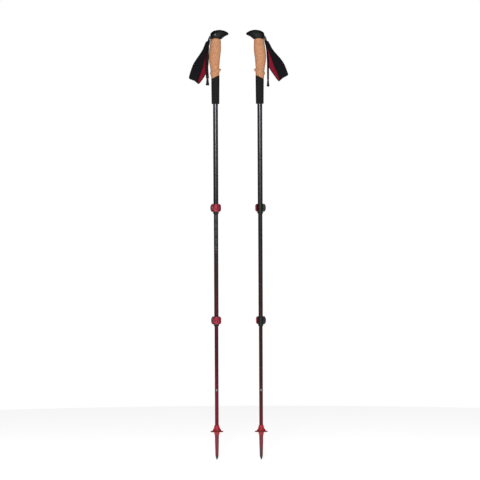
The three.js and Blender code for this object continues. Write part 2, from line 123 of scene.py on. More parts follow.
def skin(rings, loop=False, finish_of=None):
    """A closed mesh over rings of points. Its ends are faces, or meet each other in a loop.

    The UV map holds metres along the rings and round them. finish_of gives a material number
    from a point's number in its ring.
    """
    count = len(rings[0])
    points = [Vector(p) for ring in rings for p in ring]
    centres = [sum((Vector(p) for p in ring), Vector()) / count for ring in rings]
    along = [0.0]
    for a, b in zip(centres, centres[1:] + centres[:1]):
        along.append(along[-1] + (b - a).length * MM)
    widest = max(rings, key=lambda ring: (Vector(ring[0]) - Vector(ring[count // 2])).length)
    around = [0.0]
    for i in range(count):
        step = Vector(widest[(i + 1) % count]) - Vector(widest[i])
        around.append(around[-1] + step.length * MM)
    faces, coordinates, numbers = [], [], []
    for r in range(len(rings) if loop else len(rings) - 1):
        after = (r + 1) % len(rings)
        for i in range(count):
            j = (i + 1) % count
            faces.append((r * count + i, r * count + j, after * count + j, after * count + i))
            corners = ((r, i), (r, i + 1), (r + 1, i + 1), (r + 1, i))
            coordinates.append([(along[u], around[v]) for u, v in corners])
            numbers.append(finish_of(i) if finish_of else 0)
    if not loop:
        for r in (0, len(rings) - 1):
            ends = range(count - 1, -1, -1) if r == 0 else range(count)
            faces.append(tuple(r * count + i for i in ends))
            coordinates.append([(along[r], around[i]) for i in ends])
            numbers.append(finish_of(0) if finish_of else 0)
    if signed_volume(points, faces) < 0:
        faces = [face[::-1] for face in faces]
        coordinates = [corners[::-1] for corners in coordinates]
    mesh = bpy.data.meshes.new("skin")
    mesh.from_pydata(points, [], faces)
    uv = mesh.uv_layers.new(name="UVMap")
    flat = [value for corners in coordinates for pair in corners for value in pair]
    uv.data.foreach_set("uv", flat)
    mesh.polygons.foreach_set("material_index", numbers)
    return mesh


def rounded(outline, closed=True):
    """An outline with its corners rounded. A point is (x, y) or (x, y, radius)."""
    result = []
    count = len(outline)
    for i, point in enumerate(outline):
        corner = Vector(point[:2])
        radius = point[2] if len(point) > 2 else 0
        at_end = not closed and i in (0, count - 1)
        if radius <= 0 or at_end:
            result.append(corner)
            continue
        before = Vector(outline[i - 1][:2]) - corner
        after = Vector(outline[(i + 1) % count][:2]) - corner
        cut = min(radius, before.length / 2, after.length / 2)
        start = corner + before.normalized() * cut
        end = corner + after.normalized() * cut
        for step in range(CORNER_STEPS + 1):
            t = step / CORNER_STEPS
            result.append(start * (1 - t) ** 2 + corner * 2 * t * (1 - t) + end * t ** 2)
    return result


def polar(radius, angle, z=0.0):
    return Vector((radius * math.cos(angle), radius * math.sin(angle), z))


def ring(radius, z, sides):
    return [polar(radius, 2 * math.pi * i / sides, z) for i in range(sides)]


def turned(profile, hollow=False, sides=ROUND):
    """A mesh turned about Z from (radius, z) or (radius, z, rounding) points."""
    points = rounded(profile, closed=hollow)
    return skin([ring(r, z, sides) for r, z in points], loop=hollow)


def rod(radius, bottom, top, edge, sides):
    profile = [(radius - edge, bottom), (radius, bottom, edge), (radius, top, edge), (radius - edge, top)]
    return turned(profile, sides=sides)


def moved(mesh, matrix):
    mesh.transform(matrix)
    if matrix.determinant() < 0:
        mesh.flip_normals()
    return mesh


def across_y(mesh, x, z):
    """A mesh that was turned about Z, laid along Y at (x, z)."""
    return moved(mesh, Matrix.Translation((x, 0, z)) @ Matrix.Rotation(-math.pi / 2, 4, "X"))


def block(low, high):
    corners = [(low[0], low[1]), (high[0], low[1]), (high[0], high[1]), (low[0], high[1])]
    return skin([[Vector((x, y, z)) for x, y in corners] for z in (low[2], high[2])])


def offset(outline, inset):
    """An outline moved inwards along its corners' normals."""
    result = []
    for i, point in enumerate(outline):
        along = outline[(i + 1) % len(outline)] - outline[i - 1]
        outward = Vector((along.y, -along.x)).normalized()
        result.append(point - outward * inset)
    return result


def edge_levels(half, radius, between):
    """(z, inset) from bottom to top of a prism whose top and bottom edges are rounded."""
    turns = [math.pi / 2 * k / CORNER_STEPS for k in range(CORNER_STEPS + 1)]
    low = [(-half + radius * (1 - math.cos(a)), radius * (1 - math.sin(a))) for a in turns]
    inner = 2 * (half - radius)
    middle = [(-half + radius + inner * k / between, 0.0) for k in range(1, between)]
    return low + middle + [(-z, inset) for z, inset in reversed(low)]


def prism(outline, levels, shape=None):
    """An outline raised through levels of (z, inset). shape moves each finished point."""
    rings = []
    for z, inset in levels:
        points = [Vector((p.x, p.y, z)) for p in offset(outline, inset)]
        rings.append([shape(p) for p in points] if shape else points)
    return skin(rings)


def combined(base, tools, operation):
    """The base mesh after each tool mesh is joined to it (UNION) or cut from it (DIFFERENCE)."""
    scene = bpy.context.scene.collection.objects
    work = bpy.data.objects.new("work", base)
    scene.link(work)
    made = []
    for mesh in tools:
        tool = bpy.data.objects.new("tool", mesh)
        scene.link(tool)
        made.append(tool)
        modifier = work.modifiers.new("boolean", "BOOLEAN")
        modifier.object = tool
        modifier.operation = operation
        modifier.solver = "EXACT"
    graph = bpy.context.evaluated_depsgraph_get()
    result = bpy.data.meshes.new_from_object(work.evaluated_get(graph))
    for thing in [work, *made]:
        bpy.data.objects.remove(thing)
    return result


def split_large_faces(mesh):
    """Faces of more than four corners become triangles."""
    body = bmesh.new()
    body.from_mesh(mesh)
    bmesh.ops.triangulate(body, faces=[face for face in body.faces if len(face.verts) > 4])
    body.to_mesh(mesh)
    body.free()


def joined(meshes):
    """Separate closed meshes kept in one mesh, with their material numbers."""
    body = bmesh.new()
    for mesh in meshes:
        body.from_mesh(mesh)
    result = bpy.data.meshes.new("joined")
    body.to_mesh(result)
    body.free()
    return result


def eased(stations, steps):
    """Stations, as tuples of numbers, joined by a smooth curve with `steps` between each two."""
    last = len(stations) - 1
    result = []
    for i in range(last):
        p, a, b, q = (stations[min(max(i + k, 0), last)] for k in (-1, 0, 1, 2))
        for step in range(steps):
            t = step / steps
            weights = (
                -0.5 * t + t**2 - 0.5 * t**3,
                1 - 2.5 * t**2 + 1.5 * t**3,
                0.5 * t + 2 * t**2 - 1.5 * t**3,
                -0.5 * t**2 + 0.5 * t**3,
            )
            columns = zip(p, a, b, q)
            result.append(tuple(sum(w * v for w, v in zip(weights, c)) for c in columns))
    result.append(tuple(stations[-1]))
    return result


def smooth(value, start, end):
    t = min(max((value - start) / (end - start), 0.0), 1.0)
    return t * t * (3 - 2 * t)


# ---- Materials ----


def srgb(code):
    """A colour in linear light from its 0xRRGGBB code."""
    channels = [((code >> shift) & 255) / 255 for shift in (16, 8, 0)]
    return [c / 12.92 if c <= 0.04045 else ((c + 0.055) / 1.055) ** 2.4 for c in channels] + [1.0]


class Finish:
    """A material made from nodes round one Principled shader. Lengths in it are metres."""

    def __init__(self, name, space="Object", **sockets):
        self.material = bpy.data.materials.new(name)
        self.material.use_nodes = True
        self.tree = self.material.node_tree
        self.shader = self.tree.nodes["Principled BSDF"]
        self.normal = None
        self.space = self.node("TexCoord").outputs[space]
        for socket, value in sockets.items():
            self.shader.inputs[socket.replace("_", " ").title().replace("Ior", "IOR")].default_value = value

    def node(self, kind, inputs=None, **settings):
        made = self.tree.nodes.new("ShaderNode" + kind)
        for key, value in settings.items():
            setattr(made, key, value)
        for key, value in (inputs or {}).items():
            if isinstance(value, bpy.types.NodeSocket):
                self.tree.links.new(value, made.inputs[key])
            else:
                made.inputs[key].default_value = value
        return made

    def stretched(self, x, y, z):
        return self.node("Mapping", {"Vector": self.space, "Scale": (x, y, z)}).outputs["Vector"]

    def noise(self, scale, detail=2.0, vector=None):
        inputs = {"Vector": vector or self.space, "Scale": scale, "Detail": detail}
        return self.node("TexNoise", inputs).outputs["Fac"]

    def cells(self, scale, output="Distance", feature="F1", vector=None):
        inputs = {"Vector": vector or self.space, "Scale": scale}
        return self.node("TexVoronoi", inputs, feature=feature).outputs[output]

    def part(self, vector, axis):
        return self.node("SeparateXYZ", {"Vector": vector}).outputs[axis]

    def math(self, operation, a, b=0.0):
        return self.node("Math", {0: a, 1: b}, operation=operation).outputs[0]

    def span(self, value, low, high, start=0.0, end=1.0):
        inputs = {"Value": value, "From Min": start, "From Max": end, "To Min": low, "To Max": high}
        return self.node("MapRange", inputs).outputs["Result"]

    def ramp(self, value, stops):
        made = self.node("ValToRGB", {"Fac": value})
        elements = made.color_ramp.elements
        while len(elements) < len(stops):
            elements.new(1.0)
        for element, (position, colour) in zip(elements, stops):
            element.position = position
            element.color = colour
        return made.outputs["Color"]

    def mix(self, factor, a, b):
        return self.node("Mix", {0: factor, 6: a, 7: b}, data_type="RGBA").outputs[2]

    def bump(self, height, distance):
        inputs = {"Height": height, "Distance": distance, "Strength": 1.0}
        if self.normal:
            inputs["Normal"] = self.normal
        self.normal = self.node("Bump", inputs).outputs["Normal"]
        self.tree.links.new(self.normal, self.shader.inputs["Normal"])

    def colour(self, value):
        self.tree.links.new(value, self.shader.inputs["Base Color"])

    def roughness(self, value):
        self.tree.links.new(value, self.shader.inputs["Roughness"])

    def worn_edges(self, colour, worn, amount=0.5):
        """Convex edges turn a little lighter, broken up by fine noise."""
        edge = self.span(self.node("NewGeometry").outputs["Pointiness"], 0.0, 1.0, 0.52, 0.6)
        patchy = self.math("MULTIPLY", edge, self.span(self.noise(700), 0.0, amount, 0.35, 0.65))
        return self.mix(patchy, colour, worn)

    def weave(self, pitch):
        """The height of a plain weave whose threads lie `pitch` apart along U and V."""
        waves = []
        for axis in ("X", "Y"):
            turn = self.math("MULTIPLY", self.part(self.space, axis), math.pi / pitch)
            waves.append(self.math("SINE", turn))
        return self.span(self.math("MULTIPLY", *waves), 0.0, 1.0, -1.0, 1.0)


def rubber_finish():
    f = Finish("head_rubber", specular_ior_level=0.2)
    grain = f.noise(2400, detail=3)
    f.colour(f.ramp(f.noise(70), [(0.35, srgb(0x08070A)), (0.65, srgb(0x0F0D10))]))
    f.roughness(f.span(grain, 0.42, 0.55))
    f.bump(grain, 0.00005)
    return f.material


def cap_finish():
    """Soft rubber with a fine stipple."""
    f = Finish("cap_rubber", specular_ior_level=0.22)
    dots = f.cells(850, feature="F1")
    stipple = f.span(dots, 1.0, 0.0, 0.1, 0.45)
    f.colour(f.mix(f.span(stipple, 0.0, 0.6), srgb(0x09080B), srgb(0x121014)))
    f.roughness(f.span(f.noise(1500), 0.36, 0.52))
    f.bump(stipple, 0.0001)
    return f.material


def cork_finish():
    """Pressed cork: pale granules of mixed tan, thin dark joints, pits and long faint streaks."""
    f = Finish("cork", specular_ior_level=0.3)
    wander = f.node("Mapping", {"Vector": f.space, "Scale": (1, 1, 0.72)}).outputs["Vector"]
    big = f.part(f.cells(420, "Color", vector=wander), "X")
    small = f.part(f.cells(980, "Color", vector=wander), "Y")
    granule = f.ramp(big, [
        (0.0, srgb(0xB4764E)), (0.3, srgb(0xCC8E64)), (0.65, srgb(0xD79A71)), (1.0, srgb(0xE2B08A)),
    ])
    fleck = f.ramp(small, [(0.0, srgb(0xB07450)), (0.25, srgb(0xCE9068)), (1.0, srgb(0xDAA27A))])
    colour = f.mix(0.4, granule, fleck)
    streak = f.noise(1.0, detail=3, vector=f.stretched(260, 260, 22))
    colour = f.mix(f.span(streak, 0.0, 0.45, 0.5, 0.75), colour, srgb(0xB07552))
    joint = f.cells(420, feature="DISTANCE_TO_EDGE", vector=wander)
    colour = f.mix(f.span(joint, 0.45, 0.0, 0.0, 0.1), colour, srgb(0xA06C4A))
    pit = f.span(f.noise(760, detail=3), 0.0, 1.0, 0.64, 0.7)
    colour = f.mix(f.math("MULTIPLY", pit, 0.75), colour, srgb(0x7A5038))
    f.colour(colour)
    f.roughness(f.span(f.noise(500), 0.62, 0.8))
    f.bump(f.span(joint, 0.0, 1.0, 0.0, 0.12), 0.00012)
    f.bump(f.math("SUBTRACT", 1.0, pit), 0.00025)
    return f.material


def foam_finish():
    """Closed-cell foam: matt charcoal with fine open pores."""
    f = Finish("foam", specular_ior_level=0.2)
    pores = f.cells(1500)
    f.colour(f.mix(f.span(pores, 0.0, 0.7, 0.15, 0.6), srgb(0x242323), srgb(0x171616)))
    f.roughness(f.span(f.noise(900), 0.82, 0.97))
    f.bump(f.span(pores, 1.0, 0.0, 0.1, 0.5), 0.00016)
    f.bump(f.noise(260, detail=3), 0.00035)
    return f.material


def shaft_finish(name, stops, faces_back, metal, gloss):
    """Anodised aluminium, whose colour runs along the pole and is browner on its back. On the upper tube
    the run along the pole is a painted highlight, lighter towards the top.

    stops are (height in metres, front colour, back colour).
    """
    f = Finish(name, metallic=metal, specular_ior_level=0.25)
    low, high = stops[0][0], stops[-1][0]
    height = f.span(f.part(f.space, "Z"), 0.0, 1.0, low, high)
    colours = []
    for column in (1, 2):
        line = [((stop[0] - low) / (high - low), srgb(stop[column])) for stop in stops]
        colours.append(f.ramp(height, line))
    rear = f.part(f.space, "Y")
    if faces_back:
        rear = f.math("MULTIPLY", rear, -1.0)
    colour = f.mix(f.span(rear, 0.0, 1.0, -0.004, 0.004), *colours)
    brushed = f.noise(1.0, detail=3, vector=f.stretched(2600, 2600, 30))
    colour = f.mix(f.span(brushed, 0.0, 0.25, 0.4, 0.8), colour, srgb(0x0C0B0C))
    f.colour(colour)
    f.roughness(f.span(brushed, gloss, gloss + 0.1, 0.3, 0.7))
    f.bump(brushed, 0.00001)
    return f.material


def anodised_finish(name, colour, worn, metallic):
    f = Finish(name, metallic=metallic, coat_weight=0.2, coat_roughness=0.35)
    tone = f.mix(f.span(f.noise(160), 0.0, 0.3), srgb(colour), srgb(0x0A0808))
    f.colour(f.worn_edges(tone, srgb(worn)))
    f.roughness(f.span(f.noise(2200, detail=3), 0.34, 0.48))
    f.bump(f.noise(3500), 0.00002)
    return f.material


def steel_finish(name="steel", colour=0xB8B8BA, shade=0x8C8C90):
    f = Finish(name, metallic=1.0)
    turned_marks = f.noise(1.0, detail=3, vector=f.stretched(900, 900, 6000))
    f.colour(f.mix(f.span(turned_marks, 0.0, 1.0, 0.3, 0.7), srgb(colour), srgb(shade)))
    f.roughness(f.span(turned_marks, 0.22, 0.4))
    f.bump(turned_marks, 0.00001)
    return f.material


def moulded_finish(name, colour, dark):
    """Moulded nylon: slightly uneven tone, a fine grain and edges a little lighter."""
    f = Finish(name, specular_ior_level=0.45)
    grain = f.noise(1800, detail=3)
    tone = f.mix(f.span(f.noise(60, detail=3), 0.0, 0.6, 0.3, 0.7), srgb(colour), srgb(dark))
    lighter = [min(1.0, c * 1.5 + 0.02) for c in srgb(colour)[:3]] + [1.0]
    f.colour(f.worn_edges(tone, lighter, 0.35))
    f.roughness(f.span(grain, 0.37, 0.55))
    f.bump(grain, 0.00004)
    return f.material


def sheath_finish(name, upper, lower, fade):
    """The flex tip's nylon, which is browner towards the ground below `fade`, in metres."""
    f = Finish(name, specular_ior_level=0.45)
    height = f.part(f.space, "Z")
    tone = f.mix(f.span(height, 1.0, 0.0, fade - 0.012, fade + 0.012), srgb(upper), srgb(lower))
    scuffs = f.noise(1.0, detail=4, vector=f.stretched(900, 900, 120))
    worn = f.span(scuffs, 0.0, 0.35, 0.6, 0.72)
    f.colour(f.mix(worn, tone, srgb(0xA85A63)))
    f.roughness(f.span(scuffs, 0.38, 0.6))
    f.bump(f.noise(1800, detail=3), 0.00005)
    return f.material


def knit_finish(name, colour, dark, pitch=0.0011):
    """Spacer knit: rows of small round openings between rounded yarns."""
    f = Finish(name, space="UV", specular_ior_level=0.15)
    yarn = f.weave(pitch)
    fuzz = f.noise(4200, detail=3)
    tone = f.mix(f.span(yarn, 0.0, 1.0, 0.15, 0.75), srgb(dark), srgb(colour))
    soft = f.noise(90, detail=3)
    f.colour(f.mix(f.span(soft, 0.0, 0.35, 0.4, 0.75), tone, srgb(dark)))
    f.roughness(f.span(fuzz, 0.78, 0.95))
    f.bump(yarn, 0.0003)
    f.bump(fuzz, 0.0001)
    return f.material


def webbing_finish(name, colour, dark):
    """Flat woven tape: tight ribs across it and a plain weave."""
    f = Finish(name, space="UV", specular_ior_level=0.15)
    yarn = f.weave(0.0009)
    ribs = f.math("SINE", f.math("MULTIPLY", f.part(f.space, "X"), 2 * math.pi / 0.0018))
    height = f.math("ADD", yarn, f.span(ribs, 0.0, 0.5, -1.0, 1.0))
    f.colour(f.mix(f.span(height, 0.0, 1.0, 0.2, 1.2), srgb(dark), srgb(colour)))
    f.roughness(f.span(f.noise(3000), 0.65, 0.85))
    f.bump(height, 0.00018)
    return f.material


def thread_finish(name, colour):
    f = Finish(name, specular_ior_level=0.2)
    f.colour(f.mix(f.noise(5000), srgb(colour), srgb(0x0A0A0C)))
    f.roughness(f.span(f.noise(3000), 0.6, 0.8))
    return f.material


def print_finish(name, colour):
    """Printed ink, worn thin in places."""
    f = Finish(name, specular_ior_level=0.3)
    thin = f.span(f.noise(1600, detail=4), 0.0, 0.5, 0.55, 0.75)
    f.colour(f.mix(thin, srgb(colour), srgb(0x2E2A2C)))
    f.roughness(f.span(f.noise(900), 0.4, 0.6))
    return f.material


# Colours along the shaft: height in metres, front, back.
# The upper tube's grey grows lighter towards the top: a painted highlight, standing for the front strip's
# reflection fading down the shaft.
UPPER_COLOURS_PAINTED_HIGHLIGHT = [
    (0.81, 0x4A4B4E, 0x4A4B4E), (0.9, 0x5C5C5F, 0x5C5C5E), (1.02, 0x686769, 0x676668),
    (1.16, 0x747278, 0x726F75),
]
MIDDLE_COLOURS = [
    (0.45, 0x5C1426, 0x402122), (0.5, 0x531E2A, 0x3C2425), (0.56, 0x472628, 0x382626),
    (0.66, 0x35292B, 0x33292B), (0.8, 0x2D2D30, 0x2C2C2F),
]
LOWER_COLOURS = [
    (0.1, 0x7A0E2A, 0x6A1428), (0.2, 0x7A122E, 0x4C2022), (0.26, 0x681026, 0x3F1C1D),
    (0.3, 0x5A1224, 0x3C1E1E), (0.36, 0x481422, 0x381E1D), (0.42, 0x520826, 0x361C1B),
]


def make_finishes():
    shafts = {}
    for side in SIDES:
        back = side == "right"
        # The upper ramp paints the strip's highlight, lighter towards the top of the tube.
        shafts["upper", side] = shaft_finish(f"upper_shaft_{side}", UPPER_COLOURS_PAINTED_HIGHLIGHT, back, 0.92, 0.27)
        shafts["middle", side] = shaft_finish(f"middle_shaft_{side}", MIDDLE_COLOURS, back, 0.4, 0.35)
        shafts["lower", side] = shaft_finish(f"lower_shaft_{side}", LOWER_COLOURS, back, 0.3, 0.4)
    return {
        "rubber": rubber_finish(),
        "cap": cap_finish(),
        "cork": cork_finish(),
        "foam": foam_finish(),
        "clamp": anodised_finish("clamp_black", 0x161214, 0x4A4648, 0.3),
        "lever": anodised_finish("lever_red", 0xA82A42, 0xC87883, 0.45),
        "steel": steel_finish(),
        "dark_steel": steel_finish("dark_steel", 0x4A4446, 0x2A2628),
        "black_steel": anodised_finish("black_steel", 0x141316, 0x2A292C, 0.3),
        "carbide": steel_finish("carbide", 0x55565A, 0x303135),
        "nylon": moulded_finish("black_nylon", 0x101012, 0x0A0A0B),
        "mark": moulded_finish("grey_nylon", 0x8B9599, 0x6B7377),
        "basket": moulded_finish("basket_red", 0xB81A2E, 0x9A1526),
        "plate": moulded_finish("basket_dark", 0x77201F, 0x521818),
        "sheath_left": sheath_finish("sheath_red_left", 0x7E1E33, 0x7A1E32, 0.03),
        "sheath_right": sheath_finish("sheath_red_right", 0x742232, 0x523032, 0.04),
        "knit": knit_finish("strap_knit", 0x17141A, 0x0A090C),
        "lining": knit_finish("strap_lining", 0xB0203C, 0x6A1226, 0.0009),
        "binding": webbing_finish("strap_binding", 0x131115, 0x08080A),
        "webbing": webbing_finish("strap_webbing", 0x30101A, 0x140A0F),
        "thread": thread_finish("strap_thread", 0x1A171D),
        "ink": print_finish("scale_ink", 0x8E9092),
        **shafts,
    }


# ---- Putting pieces in place ----


def put(name, mesh, body, slot, finishes, stands_for=None, sharp=35, sides=SIDES):
    """A piece on the left pole, on the right one or on both, riding on its own pole's body."""
    made = {}
    for side in sides:
        own = mesh.copy()
        own.name = f"{side}_{name}"
        split_large_faces(own)
        moved(own, PLACES[side])
        own.polygons.foreach_set("use_smooth", [True] * len(own.polygons))
        own.set_sharp_from_angle(angle=math.radians(sharp))
        for finish in finishes:
            own.materials.append(finish[side] if isinstance(finish, dict) else finish)
        piece = bpy.data.objects.new(own.name, own)
        bpy.context.scene.collection.objects.link(piece)
        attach(piece, f"{side}_{body}")
        if stands_for:
            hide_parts(f"{side}_{stands_for}")
        made[side] = piece
    return made


# ---- Grip: head, cork and foam ----

HEAD_BOTTOM = 1366.0
HEAD_ARCH = 3.2
PIN_X = -15.5
PIN_Z = 1372.0
PIN_RADIUS = 1.6
PIN_LENGTH = 23.0
CHEEK_RADIUS = 4.6
STUD_Z = 1380.0
STUD_DEPTH = 13.2
POCKET_WIDTH = 17.0
POCKET_FRONT = -9.5
POCKET_CEILING = 1376.8
WEDGE_POCKET_CEILING = 1386.3
HEAD_STATIONS = [
    # x, bottom, top, half width
    (-16.7, 1374.5, 1378.5, 3.5),
    (-16.2, 1372, 1381, 8),
    (-14.8, 1366, 1385.8, 11),
    (-11, 1360, 1389.6, 13.4),
    (-4, 1358, 1393, 15),
    (4, 1358, 1395, 15.5),
    (12, 1358, 1396, 15.4),
    (18, 1364, 1395.8, 14.6),
    (24, 1370, 1394.6, 13.4),
    (31, 1375.2, 1392.8, 11.6),
    (38, 1378.5, 1389.8, 8.8),
    (41.5, 1380.2, 1387.4, 6),
    (43, 1381.6, 1385.8, 3.2),
    (43.5, 1383, 1384.4, 1),
]


def head_section(station, turn, out=0.0):
    """A point of the head's skin, `turn` round its section, moved outwards by `out`."""
    x, bottom, top, half = station

    def squarer(value):
        return math.copysign(abs(value) ** 0.82, value)

    across, rise = math.cos(turn), math.sin(turn)
    y = (half + out) * squarer(across)
    z = (bottom + top) / 2 + ((top - bottom) / 2 + out) * squarer(rise)
    return Vector((x, y, z))


def arch(y):
    """How far the joint of head and cork rises towards the grip's flanks."""
    return HEAD_ARCH * min(abs(y) / 14, 1.2) ** 2


def make_head():
    stations = eased(HEAD_STATIONS, 5)
    turns = [2 * math.pi * (i + 0.5) / ROUND for i in range(ROUND)]
    shell = skin([[head_section(s, t) for t in turns] for s in stations])
    wide, deep = 60, 40
    floor = []
    for k in range(41):
        y = -30 + 1.5 * k
        top = HEAD_BOTTOM + arch(y)
        floor.append([Vector((x, y, z)) for x, z in (
            (-wide, HEAD_BOTTOM - deep), (wide, HEAD_BOTTOM - deep), (wide, top), (-wide, top),
        )])
    shell = combined(shell, [skin(floor)], "DIFFERENCE")
    half = PIN_LENGTH / 2 + 0.5
    cheeks = across_y(rod(CHEEK_RADIUS, -half, half, 0.8, 48), PIN_X, PIN_Z)
    spigot = rod(UPPER.radius - 1.1, HEAD_BOTTOM - 26, HEAD_BOTTOM + 6, 0.5, 48)
    shell = combined(shell, [cheeks, spigot], "UNION")
    pocket = block(
        (-wide, -POCKET_WIDTH / 2, HEAD_BOTTOM - deep), (POCKET_FRONT, POCKET_WIDTH / 2, POCKET_CEILING)
    )
    wedge_high = local_box("strap_wedge")[1]
    room = wedge_high.y + CLEAR
    wedge_pocket = block(
        (-wide, -room, POCKET_CEILING - 1), (wedge_high.x + 0.4, room, WEDGE_POCKET_CEILING)
    )
    pin_bore = across_y(rod(PIN_RADIUS + CLEAR, -30, 30, 0.1, 32), PIN_X, PIN_Z)
    return combined(shell, [pocket, wedge_pocket, pin_bore], "DIFFERENCE")


def make_cap():
    """The soft inlay on top of the head, proud of it by half a millimetre."""
    rear, front = -9.5, 36
    outer, inner = [], []
    steps = 40
    for s in eased(HEAD_STATIONS, 10):
        if not rear <= s[0] <= front:
            continue
        t = (s[0] - rear) / (front - rear)
        reach = math.radians(58) * math.sqrt(max(1 - abs(2 * t - 1) ** 2.6, 0.0)) + 0.02
        row_out, row_in = [], []
        for k in range(steps + 1):
            v = 2 * k / steps - 1
            turn = math.pi / 2 + v * reach
            ends = min(smooth(t, 0, 0.04), smooth(1 - t, 0, 0.04))
            lift = 0.9 * smooth(1 - abs(v), 0, 0.12) * ends - 0.35
            row_out.append(head_section(s, turn, lift))
            row_in.append(head_section(s, turn, -1.2))
        outer.append(row_out)
        inner.append(row_in)
    return skin([a + b[::-1] for a, b in zip(outer, inner)])


def make_stud():
    """A small round plug in the head's flank."""
    stud = turned([
        (1.2, 0), (2.3, 0, 0.2), (2.3, 2.2, 0.3), (1.7, 2.3, 0.1), (1.5, 2.0, 0.1), (0.4, 2.0),
    ], sides=40)
    laid = across_y(moved(stud, Matrix.Rotation(math.pi, 4, "X")), 0, STUD_Z)
    return moved(laid, Matrix.Translation((0, -STUD_DEPTH, 0)))


def make_wedge():
    low, high = local_box("strap_wedge")
    outline = rounded([
        (high.x, low.z + 1.5, 1), (high.x, high.z - 1.5, 1), (high.x - 3, high.z, 1),
        (low.x + 1.5, high.z, 1), (low.x, high.z - 2, 0.8), (low.x, low.z + 1, 0.8),
        (low.x + 1, low.z, 0.8), (high.x - 3, low.z, 1),
    ][::-1])
    upright = prism(outline, edge_levels(high.y, 0.6, 6))
    return moved(upright, Matrix.Rotation(math.pi / 2, 4, "X"))


CORK_STATIONS = [
    # z, front, rear, half width, slope towards the front
    (1365.7, 16.6, -12.5, 12.9, 0),
    (1364.3, 17.6, -13.6, 13.8, 0),
    (1362, 18.1, -14.2, 14.2, 0),
    (1353, 18.6, -16, 14.7, 0),
    (1341, 18.8, -17.8, 15.2, 0),
    (1329, 18.5, -19.4, 15.5, 0),
    (1313, 16.6, -21, 15.9, 0.02),
    (1300, 15.1, -20.4, 15.5, 0.04),
    (1288, 14, -18.9, 14.8, 0.08),
    (1273, 13.2, -16.2, 13.6, 0.22),
    (1267, 13.5, -15.7, 13.6, 0.32),
    (1263.4, 17.4, -16.4, 14.6, 0.33),
    (1261.3, 19.2, -17.6, 15.5, 0.33),
    (1259, 18, -17.4, 15.2, 0.35),
    (1255.5, 14.2, -15.2, 14, 0.38),
    (1251, 13.3, -14.1, 13.4, 0.45),
    (1243, 13, -13.5, 13.3, 0.5),
]
BORE = 8.3


def make_cork():
    rings = []
    stations = eased(CORK_STATIONS, 6)
    for z, front, rear, half, slope in stations:
        points = []
        saddle = smooth(z, 1335, 1365)
        for p in ring(1, 0, 96):
            x = (front + rear) / 2 + (front - rear) / 2 * p.x
            y = half * p.y
            points.append(Vector((x, y, z + slope * x + saddle * arch(y))))
        rings.append(points)
    top, bottom = CORK_STATIONS[0], CORK_STATIONS[-1]
    for z, slope in ((top[0], 0), (bottom[0], bottom[4])):
        rings.insert(0, [Vector((p.x, p.y, z + slope * p.x)) for p in ring(BORE, 0, 96)])
    inner_bottom = rings.pop(0)
    rings.append(inner_bottom)
    return skin(rings, loop=True)


def make_foam():
    low = local_box("foam_grip")[0]
    joint = CORK_STATIONS[-1]
    bottom_radius, top_radius = 12.7, 13.4
    profile = rounded([
        (BORE, low.z), (bottom_radius, low.z, 1.6), (bottom_radius, low.z + 4), (top_radius, joint[0] - 14),
        (top_radius, joint[0] - 0.4, 0.5), (BORE, joint[0] - 0.4),
    ])
    rings = []
    for r, z in profile:
        slope = joint[4] * smooth(z, joint[0] - 14, joint[0] - 1)
        rings.append([Vector((p.x, p.y, z + slope * p.x)) for p in ring(r, 0, 96)])
    return skin(rings, loop=True)


# ---- Shafts and their printing ----


def make_shaft(tube):
    inner = tube.radius - WALL
    edge = 0.25
    return turned([
        (inner, tube.bottom, edge), (tube.radius, tube.bottom, edge),
        (tube.radius, tube.top, edge), (inner, tube.top, edge),
    ], hollow=True, sides=96)


INK = 0.05
FACING = -math.pi / 2


def printed_mark(radius, z, facing, width, steps, span):
    """Ink round a shaft, `width` millimetres long. span(v) gives its edges at v, from -1 to 1."""
    rings = []
    for k in range(steps + 1):
        v = 2 * k / steps - 1
        low, high = span(v)
        corners = [(radius, low), (radius + INK, low), (radius + INK, high), (radius, high)]
        rings.append([polar(r, facing + v * width / 2 / radius, z + h) for r, h in corners])
    return skin(rings)


def printed_bar(radius, z, height, width):
    return printed_mark(radius, z, FACING, width, 12, lambda v: (0, height))


def printed_lozenge(radius, z, height, width, facing):
    def span(v):
        half = max(height / 2 * (1 - abs(v)), 0.05)
        return -half, half

    return printed_mark(radius, z, facing, width, 16, span)


def printed_number(text, radius, z, size):
    """A number that reads up the shaft, wrapped round it."""
    curve = bpy.data.curves.new("number", "FONT")
    curve.body = text
    curve.size = size
    curve.align_x = curve.align_y = "CENTER"
    curve.extrude = INK / 2
    letters = bpy.data.objects.new("number", curve)
    bpy.context.scene.collection.objects.link(letters)
    graph = bpy.context.evaluated_depsgraph_get()
    mesh = bpy.data.meshes.new_from_object(letters.evaluated_get(graph))
    bpy.data.objects.remove(letters)
    body = bmesh.new()
    body.from_mesh(mesh)
    cuts = 12
    for k in range(1, cuts):
        level = (k / cuts - 0.5) * size
        everything = body.verts[:] + body.edges[:] + body.faces[:]
        bmesh.ops.bisect_plane(body, geom=everything, plane_co=(0, level, 0), plane_no=(0, 1, 0))
    bmesh.ops.triangulate(body, faces=body.faces[:])
    for vertex in body.verts:
        x, y, h = vertex.co
        vertex.co = polar(radius + INK / 2 + h, FACING - y / radius, z + x)
    bmesh.ops.remove_doubles(body, verts=body.verts[:], dist=0.001)
    bmesh.ops.recalc_face_normals(body, faces=body.faces[:])
    body.to_mesh(mesh)
    body.free()
    return mesh


SCALE_STEP = 25.0
SCALE_NUMBERS = ("140", "135", "130", "125", "120")


def make_scale(tube, edge):
    """Length marks below a lock whose lower edge is at `edge`: a number every five centimetres."""
    marks = []
    for i, number in enumerate(SCALE_NUMBERS):
        z = edge - 9 - SCALE_STEP * i
        marks.append(printed_number(number, tube.radius, z, 5.2))
        for k, height, width in ((0, 0.7, 8), (2, 0.45, 4.5), (4, 0.45, 4.5)):
            tick = z - 7.5 - (SCALE_STEP - 13.5) * k / 5
            marks.append(printed_bar(tube.radius, tick, height, width))
    return joined(marks)


# ---- Lever locks ----


